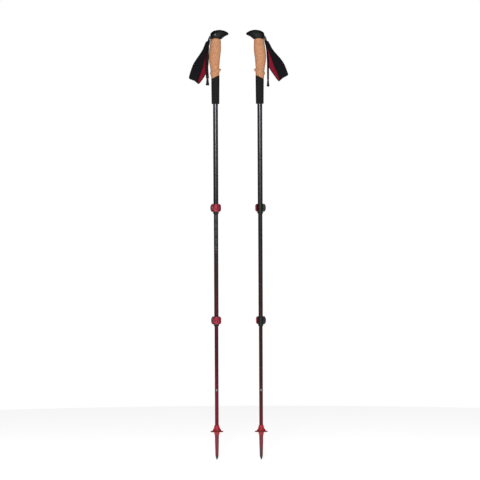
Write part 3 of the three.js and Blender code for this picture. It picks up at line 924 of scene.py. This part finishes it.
class Lock:
    """The places of a lock's parts about its tube's axis and its own middle height."""

    wall = 3.0
    cam = 3.6
    slit = 1.0

    def __init__(self, name, tube):
        low, high = local_box(f"{name}_clamp")
        pin_low, pin_high = local_box(f"{name}_lever_pin")
        self.name = name
        self.tube = tube
        self.z = (low.z + high.z) / 2
        self.half = (high.z - low.z) / 2
        self.collar = tube.radius + self.wall
        self.pivot = Vector(((pin_low.x + pin_high.x) / 2, (pin_low.y + pin_high.y) / 2, 0))
        self.pin_radius = (pin_high.x - pin_low.x) / 2
        self.lug = (pin_high.z - pin_low.z) / 2 + 0.5
        self.ear_depth = -self.pivot.y - self.cam - CLEAR
        self.reach = -low.x - tube.radius


def clamp_outline(lock):
    """The clamp from above: a split ring with an ear on each side of the slit."""
    radius, collar, depth = lock.tube.radius, lock.collar, lock.ear_depth
    bore = radius + CLEAR
    tip = -radius - lock.reach
    start = math.pi + math.asin(depth / collar)
    sweep = 2 * (math.pi - math.asin(depth / collar))
    mouth = math.pi - math.asin(lock.slit / bore)
    points = [(tip, -lock.slit, 0.5), (tip, -depth, 2.2)]
    steps = 56
    for k in range(steps + 1):
        angle = start + sweep * k / steps
        points.append((collar * math.cos(angle), collar * math.sin(angle)))
    points += [(tip, depth, 2.2), (tip, lock.slit, 0.5)]
    for k in range(steps + 1):
        angle = mouth - 2 * mouth * k / steps
        points.append((bore * math.cos(angle), bore * math.sin(angle)))
    return rounded(points)


def make_clamp(lock):
    root = -lock.tube.radius

    def tapered(point):
        """The ears grow shorter towards their top and bottom."""
        if point.x < root:
            share = 0.5 + 0.5 * math.cos(math.pi / 2 * min(abs(point.z) / lock.half, 1.0) ** 1.7)
            point.x = root + (point.x - root) * share
        return point

    body = prism(clamp_outline(lock), edge_levels(lock.half, 0.7, 22), tapered)
    hole = across_y(rod(1.9, -20, 20, 0.1, 32), lock.pivot.x, 0)
    seat = across_y(rod(3.4, lock.ear_depth, 20, 0.1, 40), lock.pivot.x, 0)
    return combined(body, [hole, seat], "DIFFERENCE")


def make_lever(lock):
    """Cam lugs on the pin, an arm round the collar's front and a lifted finger end."""
    inner = lock.collar + 0.6
    outer = inner + 3.0
    start = math.atan2(lock.pivot.y, lock.pivot.x)
    end = math.radians(3)
    bend = math.radians(-34)
    steps = 72
    angles = [start + (end - start) * k / steps for k in range(steps + 1)]

    def flared(angle, radius, lift):
        r = radius + lift * smooth(angle, bend, end)
        return (r * math.cos(angle), r * math.sin(angle))

    points = [flared(a, outer, 2.0) for a in angles]
    points[-1] = (*points[-1], 1.1)
    back = [flared(a, inner, 1.0) for a in reversed(angles)]
    back[0] = (*back[0], 0.8)
    outline = rounded(points + back)
    half = lock.half - 0.5

    def pressed(point):
        """The finger end narrows, and the face has a shallow oval thumb rest."""
        angle = math.atan2(point.y, point.x)
        radius = math.hypot(point.x, point.y)
        point.z *= 1 - 0.36 * smooth(angle, math.radians(-30), end)
        if radius > (inner + outer) / 2:
            from_middle = math.hypot((angle - math.radians(-86)) / math.radians(33), point.z / 9.2)
            dip = 0.75 * smooth(1 - from_middle, 0.0, 0.16)
            crown = 0.3 * smooth(1 - from_middle, 0.35, 0.95)
            scale = (radius - dip + crown) / radius
            point.x *= scale
            point.y *= scale
        return point

    arm = prism(outline, edge_levels(half, 1.1, 34), pressed)
    at_pivot = Matrix.Translation(lock.pivot)
    lug = moved(rod(lock.cam, -lock.lug, lock.lug, 0.8, 48), at_pivot)
    lever = combined(arm, [lug], "UNION")
    bore = moved(rod(lock.pin_radius + CLEAR, -lock.lug - 1, lock.lug + 1, 0.1, 32), at_pivot)
    slot = block((-6, -0.7, -2.3), (6, 6, 2.3))
    moved(slot, at_pivot @ Matrix.Rotation(math.radians(60), 4, "Z"))
    return combined(lever, [bore, slot], "DIFFERENCE")


def make_screw(lock):
    """A button head with a hexagon socket, and its shank through the ears."""
    low = local_box(f"{lock.name}_tension_screw")[0]
    seat = lock.ear_depth + CLEAR
    profile = [
        (1.0, low.y), (1.6, low.y, 0.3), (1.6, seat), (3.1, seat, 0.2), (3.1, seat + 1.2, 0.5),
        (2.4, seat + 2.3, 0.8), (0.6, seat + 2.6),
    ]
    screw = turned(profile, sides=48)
    socket = rod(1.5, seat + 1.2, seat + 5, 0.01, 6)
    return across_y(combined(screw, [socket], "DIFFERENCE"), lock.pivot.x, 0)


def make_lever_pin(lock):
    low, high = local_box(f"{lock.name}_lever_pin")
    half = (high.z - low.z) / 2
    return moved(rod(lock.pin_radius, -half, half, 0.4, 40), Matrix.Translation(lock.pivot))


def make_bushing(lock):
    low, high = local_box(f"{lock.name}_bushing")
    collar = (high.x - low.x) / 2
    bore = {"upper": MIDDLE, "lower": LOWER}[lock.name].radius + 0.15
    shoulder = lock.z - lock.half - CLEAR
    sleeve = lock.tube.radius
    return turned([
        (bore, low.z, 0.4), (collar - 0.6, low.z, 0.5), (collar, low.z + 1.1, 0.6),
        (collar, shoulder, 0.3), (sleeve, shoulder), (sleeve, high.z), (bore, high.z),
    ], hollow=True)


def add_lock(name, tube, body, finishes):
    lock = Lock(name, tube)
    up = Matrix.Translation((0, 0, lock.z))
    parts = [
        ("clamp_body", make_clamp(lock), body, "clamp_black", "clamp", f"{name}_clamp"),
        ("lever_arm", make_lever(lock), f"{name}_lever", "lever_red", "lever", f"{name}_lever"),
        ("hex_screw", make_screw(lock), body, "steel", "dark_steel", f"{name}_tension_screw"),
        ("pivot_pin", make_lever_pin(lock), body, "steel", "steel", f"{name}_lever_pin"),
    ]
    for piece, mesh, rider, slot, finish, node in parts:
        put(f"{name}_{piece}", moved(mesh, up), rider, slot, [finishes[finish]], node, sharp=32)
    put(f"{name}_collar", make_bushing(lock), body, "black_nylon", [finishes["nylon"]], f"{name}_bushing")
    return lock


# ---- Tip: sheath, basket, ferrule and carbide ----

HUB_RADIUS = 7.3
PLATE_RIM = 21.0
HOLE_CIRCLE = 16.2
HOLE_RADIUS = 2.3


def make_sheath():
    low, high = local_box("tip_sheath")
    socket, neck, end, bore = 7.0, 6.8, 5.2, 3.2
    neck_z = 80.0
    floor = LOWER.bottom - CLEAR
    profile = [(bore, low.z, 0.2), (end - 0.3, low.z, 0.3), (end, low.z + 1.5, 0.4)]
    for k in range(3):
        z = 60.0 + 5 * k
        r = end + (neck - end) * (z - low.z) / (neck_z - low.z)
        profile += [(r, z - 0.9, 0.3), (r - 0.35, z, 0.3), (r, z + 0.9, 0.3)]
    profile += [
        (neck, neck_z, 0.5), (socket, neck_z + 2, 0.5), (socket, high.z, 0.5),
        (LOWER.radius + CLEAR, high.z, 0.2), (LOWER.radius + CLEAR, floor), (bore, floor),
    ]
    return turned(profile, hollow=True, sides=64)


def make_basket():
    """A flared hub, six gussets and a thin plate with round holes. Material 1 is the plate's."""
    low, high = local_box("basket")
    plate_bottom, plate_top = 90.0, 94.0
    dark_from = 13.2
    hub = turned([
        (HUB_RADIUS, low.z), (HUB_RADIUS + 0.7, low.z, 0.3), (HUB_RADIUS + 1.8, plate_bottom - 1, 0.8),
        (dark_from, plate_bottom, 0.4), (dark_from, plate_top + 0.5, 0.8),
        (HUB_RADIUS + 3.8, plate_top + 3.4, 1.5),
        (HUB_RADIUS + 2.2, plate_top + 9, 2), (HUB_RADIUS + 0.7, high.z - 1, 0.5),
        (HUB_RADIUS + 0.5, high.z, 0.2), (HUB_RADIUS, high.z),
    ], hollow=True)
    plate = turned([
        (dark_from - 1.2, plate_bottom + 0.3, 0.2), (PLATE_RIM - 0.8, plate_bottom, 0.6),
        (PLATE_RIM, plate_bottom + 0.8, 0.6), (PLATE_RIM, plate_bottom + 2.2, 0.6),
        (PLATE_RIM - 1.2, plate_bottom + 2.9, 0.6), (PLATE_RIM - 3, plate_bottom + 2.4, 0.6),
        (dark_from - 1.2, plate_top - 0.4, 0.2),
    ], hollow=True)
    outline = rounded([
        (HUB_RADIUS + 1.5, 93), (18, 92.2, 0.3), (17.5, 93.4, 1), (11.6, 97, 3), (9.2, 105, 1), (8.3, 106),
    ])
    count = 6
    holes, gussets = [], []
    for i in range(count):
        angle = 2 * math.pi * i / count
        hole = rod(HOLE_RADIUS, plate_bottom - 5, plate_top + 5, 0.1, 32)
        holes.append(moved(hole, Matrix.Translation(polar(HOLE_CIRCLE, angle))))
        fin = moved(prism(outline, edge_levels(0.7, 0.3, 2)), Matrix.Rotation(math.pi / 2, 4, "X"))
        turn = angle + math.pi / count
        gussets.append(moved(fin, Matrix.Rotation(turn, 4, "Z")))
    plate = combined(plate, holes, "DIFFERENCE")
    plate.polygons.foreach_set("material_index", [1] * len(plate.polygons))
    hub.polygons.foreach_set("material_index", [0] * len(hub.polygons))
    return joined([hub, plate, *gussets])


def make_ferrule():
    low, high = local_box("tip_ferrule")
    seat = local_box("tip_sheath")[0].z - CLEAR
    bore, wide, shank, floor = 1.7, 4.9, 2.9, 11.3
    return turned([
        (bore, low.z, 0.1), (bore + 0.9, low.z, 0.2), (wide - 1, seat - 5, 0.8), (wide, seat - 2, 0.4),
        (wide, seat, 0.2), (shank, seat, 0.1), (shank, high.z, 0.3), (0.4, high.z), (0.4, floor),
        (bore, floor),
    ], hollow=True, sides=48)


def make_carbide():
    """The insert: a shank and a hollow-ground crown with a sharp rim."""
    low, high = local_box("carbide_tip")
    return turned([
        (0.3, low.z + 0.9), (0.9, low.z, 0.1), (1.5, low.z + 1.6, 0.2), (1.6, 2.7, 0.1), (1.4, 3.0, 0.1),
        (1.4, high.z, 0.2), (0.5, high.z),
    ], sides=40)


# ---- Wrist strap ----

STRAP_START = [(-16.9, 0, 1373), (-21, 0, 1369.6)]
STRAP_END = [(-18.3, 2.6, 1363), (-14.1, 0, 1371)]
TAIL_START = [(-12.6, -1.5, 1367.9), (-15.4, -1.5, 1362.3), (-19, -3, 1348)]
STRAPS = {
    "left": {
        "route": [
            *STRAP_START, (-23.4, -7, 1357.5), (-31.5, -11.5, 1336),
            (-43, -13.5, 1310), (-53, -14.5, 1287), (-61.5, -13.5, 1266), (-68, -8.5, 1246.5),
            (-70.6, 0, 1237.5),
            (-66, 8.5, 1233), (-56.5, 12.5, 1243.5), (-47, 13, 1259), (-39.5, 12.5, 1279),
            (-33.5, 11.5, 1304), (-28.5, 10, 1328), (-23.8, 8.5, 1348), *STRAP_END,
        ],
        "across": (-0.88, 0, 0.48),
        "tail": [
            *TAIL_START, (-24.6, -2.5, 1328),
            (-27.6, -3, 1300), (-27.4, -3, 1268), (-25.5, -3, 1238.3),
        ],
        "tail_across": (-1, 0.15, 0),
        "tab_turn": -8,
    },
    "right": {
        "route": [
            *STRAP_START, (-22.8, -7, 1357), (-33, -11, 1335),
            (-45.5, -13.5, 1312), (-57, -14.5, 1292), (-67.5, -13.5, 1272), (-75, -8.5, 1253),
            (-78, 0, 1244.5),
            (-73, 8.5, 1241.5), (-62.5, 12.5, 1255), (-52, 13, 1270), (-42, 13, 1288),
            (-35, 12, 1310), (-29, 10, 1333), (-23.8, 8.5, 1348), *STRAP_END,
        ],
        "across": (-0.84, 0, 0.54),
        "tail": [
            *TAIL_START, (-24, -2.5, 1328),
            (-26.6, -3, 1300), (-27.2, -3, 1268), (-27.2, -3, 1233.9),
        ],
        "tail_across": (-0.6, 0.8, 0),
        "tab_turn": -53,
    },
}
BINDING = 2.4
THREAD_RADIUS = 0.28


def spline(points, count):
    """Evenly spaced points on a centripetal Catmull-Rom curve through the given ones."""
    given = [Vector(p) for p in points]
    given = [given[0] * 2 - given[1], *given, given[-1] * 2 - given[-2]]
    dense = []
    for p, a, b, q in zip(given, given[1:], given[2:], given[3:]):
        gaps = [max((v - u).length, 1e-6) ** 0.5 for u, v in ((p, a), (a, b), (b, q))]
        leave = ((a - p) / gaps[0] - (b - p) / (gaps[0] + gaps[1]) + (b - a) / gaps[1]) * gaps[1]
        arrive = ((b - a) / gaps[1] - (q - a) / (gaps[1] + gaps[2]) + (q - b) / gaps[2]) * gaps[1]
        for k in range(40):
            t = k / 40
            dense.append(
                a * (2 * t**3 - 3 * t**2 + 1) + leave * (t**3 - 2 * t**2 + t)
                + b * (3 * t**2 - 2 * t**3) + arrive * (t**3 - t**2)
            )
    dense.append(given[-2])
    lengths = [0.0]
    for a, b in zip(dense, dense[1:]):
        lengths.append(lengths[-1] + (b - a).length)
    result, at = [], 0
    for k in range(count + 1):
        want = lengths[-1] * k / count
        while at < len(dense) - 2 and lengths[at + 1] < want:
            at += 1
        share = (want - lengths[at]) / max(lengths[at + 1] - lengths[at], 1e-9)
        result.append(dense[at].lerp(dense[at + 1], min(share, 1.0)))
    return result


def frames(route, count, across, turn):
    """(share, centre, width, face) down a band whose width turns from Y towards `across`."""
    points = spline(route, count)
    result = []
    for k, centre in enumerate(points):
        share = k / count
        along = (points[min(k + 1, count)] - points[max(k - 1, 0)]).normalized()
        width = Vector((0, 1, 0)).lerp(Vector(across), turn(share))
        width = (width - along * width.dot(along)).normalized()
        result.append((share, centre, width, along.cross(width)))
    return result


def strap_lean(s):
    return smooth(s, 0.015, 0.1) * (1 - smooth(s, 0.84, 0.97))


def strap_pad(s):
    return smooth(s, 0.14, 0.36) * (1 - smooth(s, 0.68, 0.9))


def tail_lean(s):
    return smooth(s, 0.16, 0.46)


def strap_half_width(s):
    return 7 + 9.4 * strap_pad(s)


def strap_half_thickness(s):
    return 1.0 + 0.5 * strap_pad(s)


def strap_section(s):
    """(v, height, material) across the lining, from one edge to the other: crowned between bindings."""
    half, thick, pad = strap_half_width(s), strap_half_thickness(s), strap_pad(s)
    inset = min(4.2, 0.45 * half)
    edge = [
        (half, 0.35 * thick, 2), (half - 0.25, 0.75 * thick, 2), (half - 0.9, 0.95 * thick, 2),
        (half - BINDING + 0.3, 0.95 * thick, 2), (half - BINDING, 0.75 * thick, 2),
        (half - BINDING - 0.35, 0.72 * thick, 1), (half - inset, (0.9 + 0.15 * pad) * thick, 1),
        (half * 0.45, (1 + 0.35 * pad) * thick, 1), (half * 0.2, (1 + 0.45 * pad) * thick, 1),
    ]
    mirrored = [(-v, h, m) for v, h, m in reversed(edge)]
    return edge + [(0.0, (1 + 0.47 * pad) * thick, 1)] + mirrored


LINING, SHELL_KNIT, TAPE = 0, 1, 2
STRAP_STEPS = 260


def make_strap(shape):
    """The padded band with bound edges. Its inner face is the lining."""
    rings = []
    for s, centre, width, face in frames(shape["route"], STRAP_STEPS, shape["across"], strap_lean):
        section = strap_section(s)
        points = []
        for sign, row in ((1, section), (-1, section[::-1])):
            for v, height, kind in row:
                ripple = 0.0
                if kind == 1:
                    spot = Vector((s * 34, v * 0.12, sign * 3.0))
                    calm = strap_pad(s) * (1 - abs(v) / (strap_half_width(s) + 1))
                    ripple = 0.55 * noise.noise(spot) * calm
                points.append(centre + width * v + face * sign * (height + ripple))
        rings.append(points)
    kinds = [kind for _, _, kind in strap_section(0.5)]
    count = len(kinds)

    def finish_of(i):
        first = i % count
        inner_face = i < count
        if kinds[first] == 2 or kinds[min(first + 1, count - 1)] == 2:
            return TAPE
        return LINING if inner_face else SHELL_KNIT

    band = skin(rings, finish_of=finish_of)
    barrel = across_y(rod(3.4, -7.2, 7.2, 0.6, 48), PIN_X, PIN_Z)
    barrel.polygons.foreach_set("material_index", [TAPE] * len(barrel.polygons))
    bore = across_y(rod(PIN_RADIUS + CLEAR, -20, 20, 0.1, 32), PIN_X, PIN_Z)
    return joined([band, combined(barrel, [bore], "DIFFERENCE")])


def stitch(start, end):
    """One visible stitch: a short thread with rounded ends."""
    along = (end - start).normalized()
    side = along.orthogonal().normalized()
    other = along.cross(side)
    rings = []
    for place, share in ((0.0, 0.35), (0.12, 1.0), (0.88, 1.0), (1.0, 0.35)):
        centre = start.lerp(end, place)
        rings.append([
            centre + (side * math.cos(a) + other * math.sin(a)) * THREAD_RADIUS * share
            for a in (math.pi / 3 * k for k in range(6))
        ])
    return skin(rings)


def make_stitching(shape):
    """Two rows of stitches through the bindings, on both faces."""
    steps = 240
    path = frames(shape["route"], steps, shape["across"], strap_lean)
    stitches = []
    for a, b in list(zip(path, path[1:]))[8:-8:2]:
        for edge in (-1, 1):
            for sign in (-1, 1):
                ends = []
                for s, centre, width, face in (a, b):
                    v = edge * (strap_half_width(s) - BINDING / 2 - 0.1)
                    out = 0.97 * strap_half_thickness(s)
                    ends.append(centre + width * v + face * sign * out)
                stitches.append(stitch(*ends))
    return joined(stitches)


def flat_section(half, thick):
    """A thin tape's outline across and through, with rounded edges."""
    side = [(half, 0.4 * thick), (half - 0.2, 0.85 * thick), (half - 0.6, thick)]
    top = side + [(half * k / 3, thick) for k in (2, 1, 0, -1, -2)] + [(-v, h) for v, h in reversed(side)]
    return top + [(v, -h) for v, h in reversed(top)]


def make_tail(shape):
    rings = []
    section = flat_section(5.0, 0.6)
    for _, centre, width, face in frames(shape["tail"], 110, shape["tail_across"], tail_lean):
        rings.append([centre + width * v + face * h for v, h in section])
    return skin(rings)


def make_pull_tab(shape):
    """A moulded tab on the tail's end: it flares downwards and has three finger ribs."""
    height = 22.0
    rings = []
    steps = 44
    for k in range(steps + 1):
        t = k / steps
        half = 3.4 + 2.6 * t**1.4
        thick = 1.5 + 0.7 * t
        for spot in (0.62, 0.74, 0.86):
            thick += 0.35 * max(0.0, 1 - abs(t - spot) / 0.035)
        ends = min(smooth(t, -0.02, 0.05), smooth(1 - t, -0.02, 0.09))
        half *= 0.72 + 0.28 * ends
        thick *= 0.6 + 0.4 * ends
        points = []
        for a in (2 * math.pi * i / 40 for i in range(40)):
            x = half * math.copysign(abs(math.cos(a)) ** 0.45, math.cos(a))
            y = thick * math.copysign(abs(math.sin(a)) ** 0.55, math.sin(a))
            points.append(Vector((x, y, -height * t)))
        rings.append(points)
    top = Vector(shape["tail"][-1]) - Vector((0, 0, CLEAR))
    turn = Matrix.Rotation(math.radians(shape["tab_turn"]), 4, "Z")
    return moved(skin(rings), Matrix.Translation(top) @ turn)


# ---- Studio ----

VIEW_HEIGHT = 1.56
VIEW_CENTRE = Vector((0.0058, 0.0, 0.7135))
VIEW_DISTANCE = 8.0
VIEW_ROLL = math.radians(0.25)
SENSOR = 36.0
ROOM_LIGHT = 0.28
ROOM_REFLECTION = 0.05


def add_camera():
    data = bpy.data.cameras.new("camera")
    data.sensor_width = SENSOR
    data.lens = SENSOR * VIEW_DISTANCE / VIEW_HEIGHT
    camera = bpy.data.objects.new("camera", data)
    camera.location = VIEW_CENTRE - Vector((0, VIEW_DISTANCE, 0))
    camera.rotation_euler = (math.pi / 2, VIEW_ROLL, 0)
    bpy.context.scene.collection.objects.link(camera)
    bpy.context.scene.camera = camera


def add_light(name, place, target, width, height, radiance):
    """A soft box of that width and height, whose face has about that radiance."""
    data = bpy.data.lights.new(name, "AREA")
    data.shape = "RECTANGLE"
    data.size = width
    data.size_y = height
    data.energy = radiance * width * height * math.pi
    light = bpy.data.objects.new(name, data)
    light.location = place
    light.rotation_euler = (Vector(target) - Vector(place)).to_track_quat("-Z", "Y").to_euler()
    light.visible_camera = False
    bpy.context.scene.collection.objects.link(light)


def add_world():
    """A white room: plain white behind the poles, dimmer as a source of light and of reflections."""
    world = bpy.data.worlds.new("room")
    bpy.context.scene.world = world
    world.use_nodes = True
    tree = world.node_tree
    background = tree.nodes["Background"]
    background.inputs["Color"].default_value = (1, 1, 1, 1)
    path = tree.nodes.new("ShaderNodeLightPath")
    level = None
    for ray, strength in (("Is Camera Ray", 1.0), ("Is Glossy Ray", ROOM_REFLECTION)):
        choice = tree.nodes.new("ShaderNodeMapRange")
        choice.inputs["To Min"].default_value = ROOM_LIGHT
        choice.inputs["To Max"].default_value = strength
        tree.links.new(path.outputs[ray], choice.inputs["Value"])
        if level:
            tree.links.new(level, choice.inputs["To Min"])
        level = choice.outputs["Result"]
    tree.links.new(level, background.inputs["Strength"])


def add_floor():
    """A round white floor that catches a faint shadow."""
    data = bpy.data.meshes.new("floor")
    rim = ring(2.6, 0, 96)
    data.from_pydata([tuple(p) for p in rim], [], [tuple(range(96))])
    floor = bpy.data.objects.new("floor", data)
    bpy.context.scene.collection.objects.link(floor)
    f = Finish("floor_white", roughness=0.9, specular_ior_level=0.1)
    f.colour(f.ramp(f.noise(3), [(0.0, (0.86, 0.86, 0.86, 1)), (1.0, (0.9, 0.9, 0.9, 1))]))
    f.shader.inputs["Emission Color"].default_value = (1, 1, 1, 1)
    f.shader.inputs["Emission Strength"].default_value = 0.62
    data.materials.append(f.material)


def add_studio():
    scene = bpy.context.scene
    scene.view_settings.view_transform = "Standard"
    scene.view_settings.look = "None"
    add_world()
    add_floor()
    add_light("front_strip", (-0.12, -3.0, 1.75), (0, 0, 1.1), 0.3, 1.6, 28.0)
    add_light("front_top", (0.3, -2.6, 3.5), (0, 0, 0.8), 2.6, 1.8, 1.6)
    add_light("left_side", (-3.4, -0.6, 1.5), (0, 0, 0.9), 1.0, 2.2, 0.15)
    add_light("right_side", (3.4, -0.6, 1.5), (0, 0, 0.9), 1.0, 2.2, 0.3)


# ---- The pair of poles ----


def add_grip(finishes):
    put("head_body", make_head(), "handle", "head_rubber", [finishes["rubber"]], "grip_head", sharp=40)
    put("head_cap", make_cap(), "handle", "head_rubber", [finishes["cap"]], sharp=60)
    put("head_stud", make_stud(), "handle", "black_nylon", [finishes["mark"]])
    pin = across_y(rod(PIN_RADIUS, -PIN_LENGTH / 2, PIN_LENGTH / 2, 0.4, 40), PIN_X, PIN_Z)
    put("strap_axle", pin, "handle", "steel", [finishes["black_steel"]], "strap_pin")
    put("wedge_body", make_wedge(), "wedge", "black_nylon", [finishes["nylon"]], "strap_wedge")
    put("cork_handle", make_cork(), "handle", "cork", [finishes["cork"]], "cork_grip", sharp=50)
    put("foam_sleeve", make_foam(), "handle", "foam", [finishes["foam"]], "foam_grip", sharp=50)


def add_strap(finishes):
    fabrics = [finishes["lining"], finishes["knit"], finishes["binding"]]
    for side, shape in STRAPS.items():
        for name, mesh, slot, finish, node, sharp in (
            ("strap_band", make_strap(shape), "strap_fabric", fabrics, "strap", 60),
            ("strap_stitching", make_stitching(shape), "strap_fabric", [finishes["thread"]], None, 80),
            ("strap_webbing", make_tail(shape), "webbing", [finishes["webbing"]], "strap_tail", 60),
            ("tail_tab", make_pull_tab(shape), "black_nylon", [finishes["rubber"]], "pull_tab", 35),
        ):
            turn = FOLDED_OVER if side == "right" else Matrix.Identity(4)
            made = put(name, moved(mesh, turn), "wrist_strap", slot, finish, node, sharp, (side,))


def add_shafts(finishes):
    for name, tube, body in (
        ("upper", UPPER, "handle"), ("middle", MIDDLE, "middle_section"), ("lower", LOWER, "lower_section"),
    ):
        finish = {side: finishes[name, side] for side in SIDES}
        put(f"{name}_shaft", make_shaft(tube), body, f"{name}_shaft", [finish], f"{name}_tube")
    upper_lock = add_lock("upper", UPPER, "handle", finishes)
    add_lock("lower", MIDDLE, "middle_section", finishes)
    ink = [finishes["ink"]]
    scale = make_scale(MIDDLE, upper_lock.z - upper_lock.half - 6)
    put("length_scale", scale, "middle_section", "steel", ink, sharp=80)
    spots = [printed_lozenge(LOWER.radius, 226, 9, 5.5, facing) for facing in (FACING, -FACING)]
    put("shaft_marks", joined(spots), "lower_section", "steel", ink, sharp=80)
    for side in SIDES:
        for node in ("middle_guide", "lower_guide"):
            hidden = frame["nodes"][f"{side}_{node}"]
            hidden.data.materials.clear()
            hidden.data.materials.append(finishes["nylon"])


def add_tip(finishes):
    sheath = {side: finishes[f"sheath_{side}"] for side in SIDES}
    put("flex_tip", make_sheath(), "lower_section", "sheath_red", [sheath], "tip_sheath")
    basket = [finishes["basket"], finishes["plate"]]
    put("snow_basket", make_basket(), "basket", "basket_red", basket, "basket")
    put("tip_holder", make_ferrule(), "lower_section", "steel", [finishes["dark_steel"]], "tip_ferrule")
    put("tip_insert", make_carbide(), "lower_section", "carbide", [finishes["carbide"]], "carbide_tip")


add_camera()
add_studio()
all_finishes = make_finishes()
add_grip(all_finishes)
add_strap(all_finishes)
add_shafts(all_finishes)
add_tip(all_finishes)
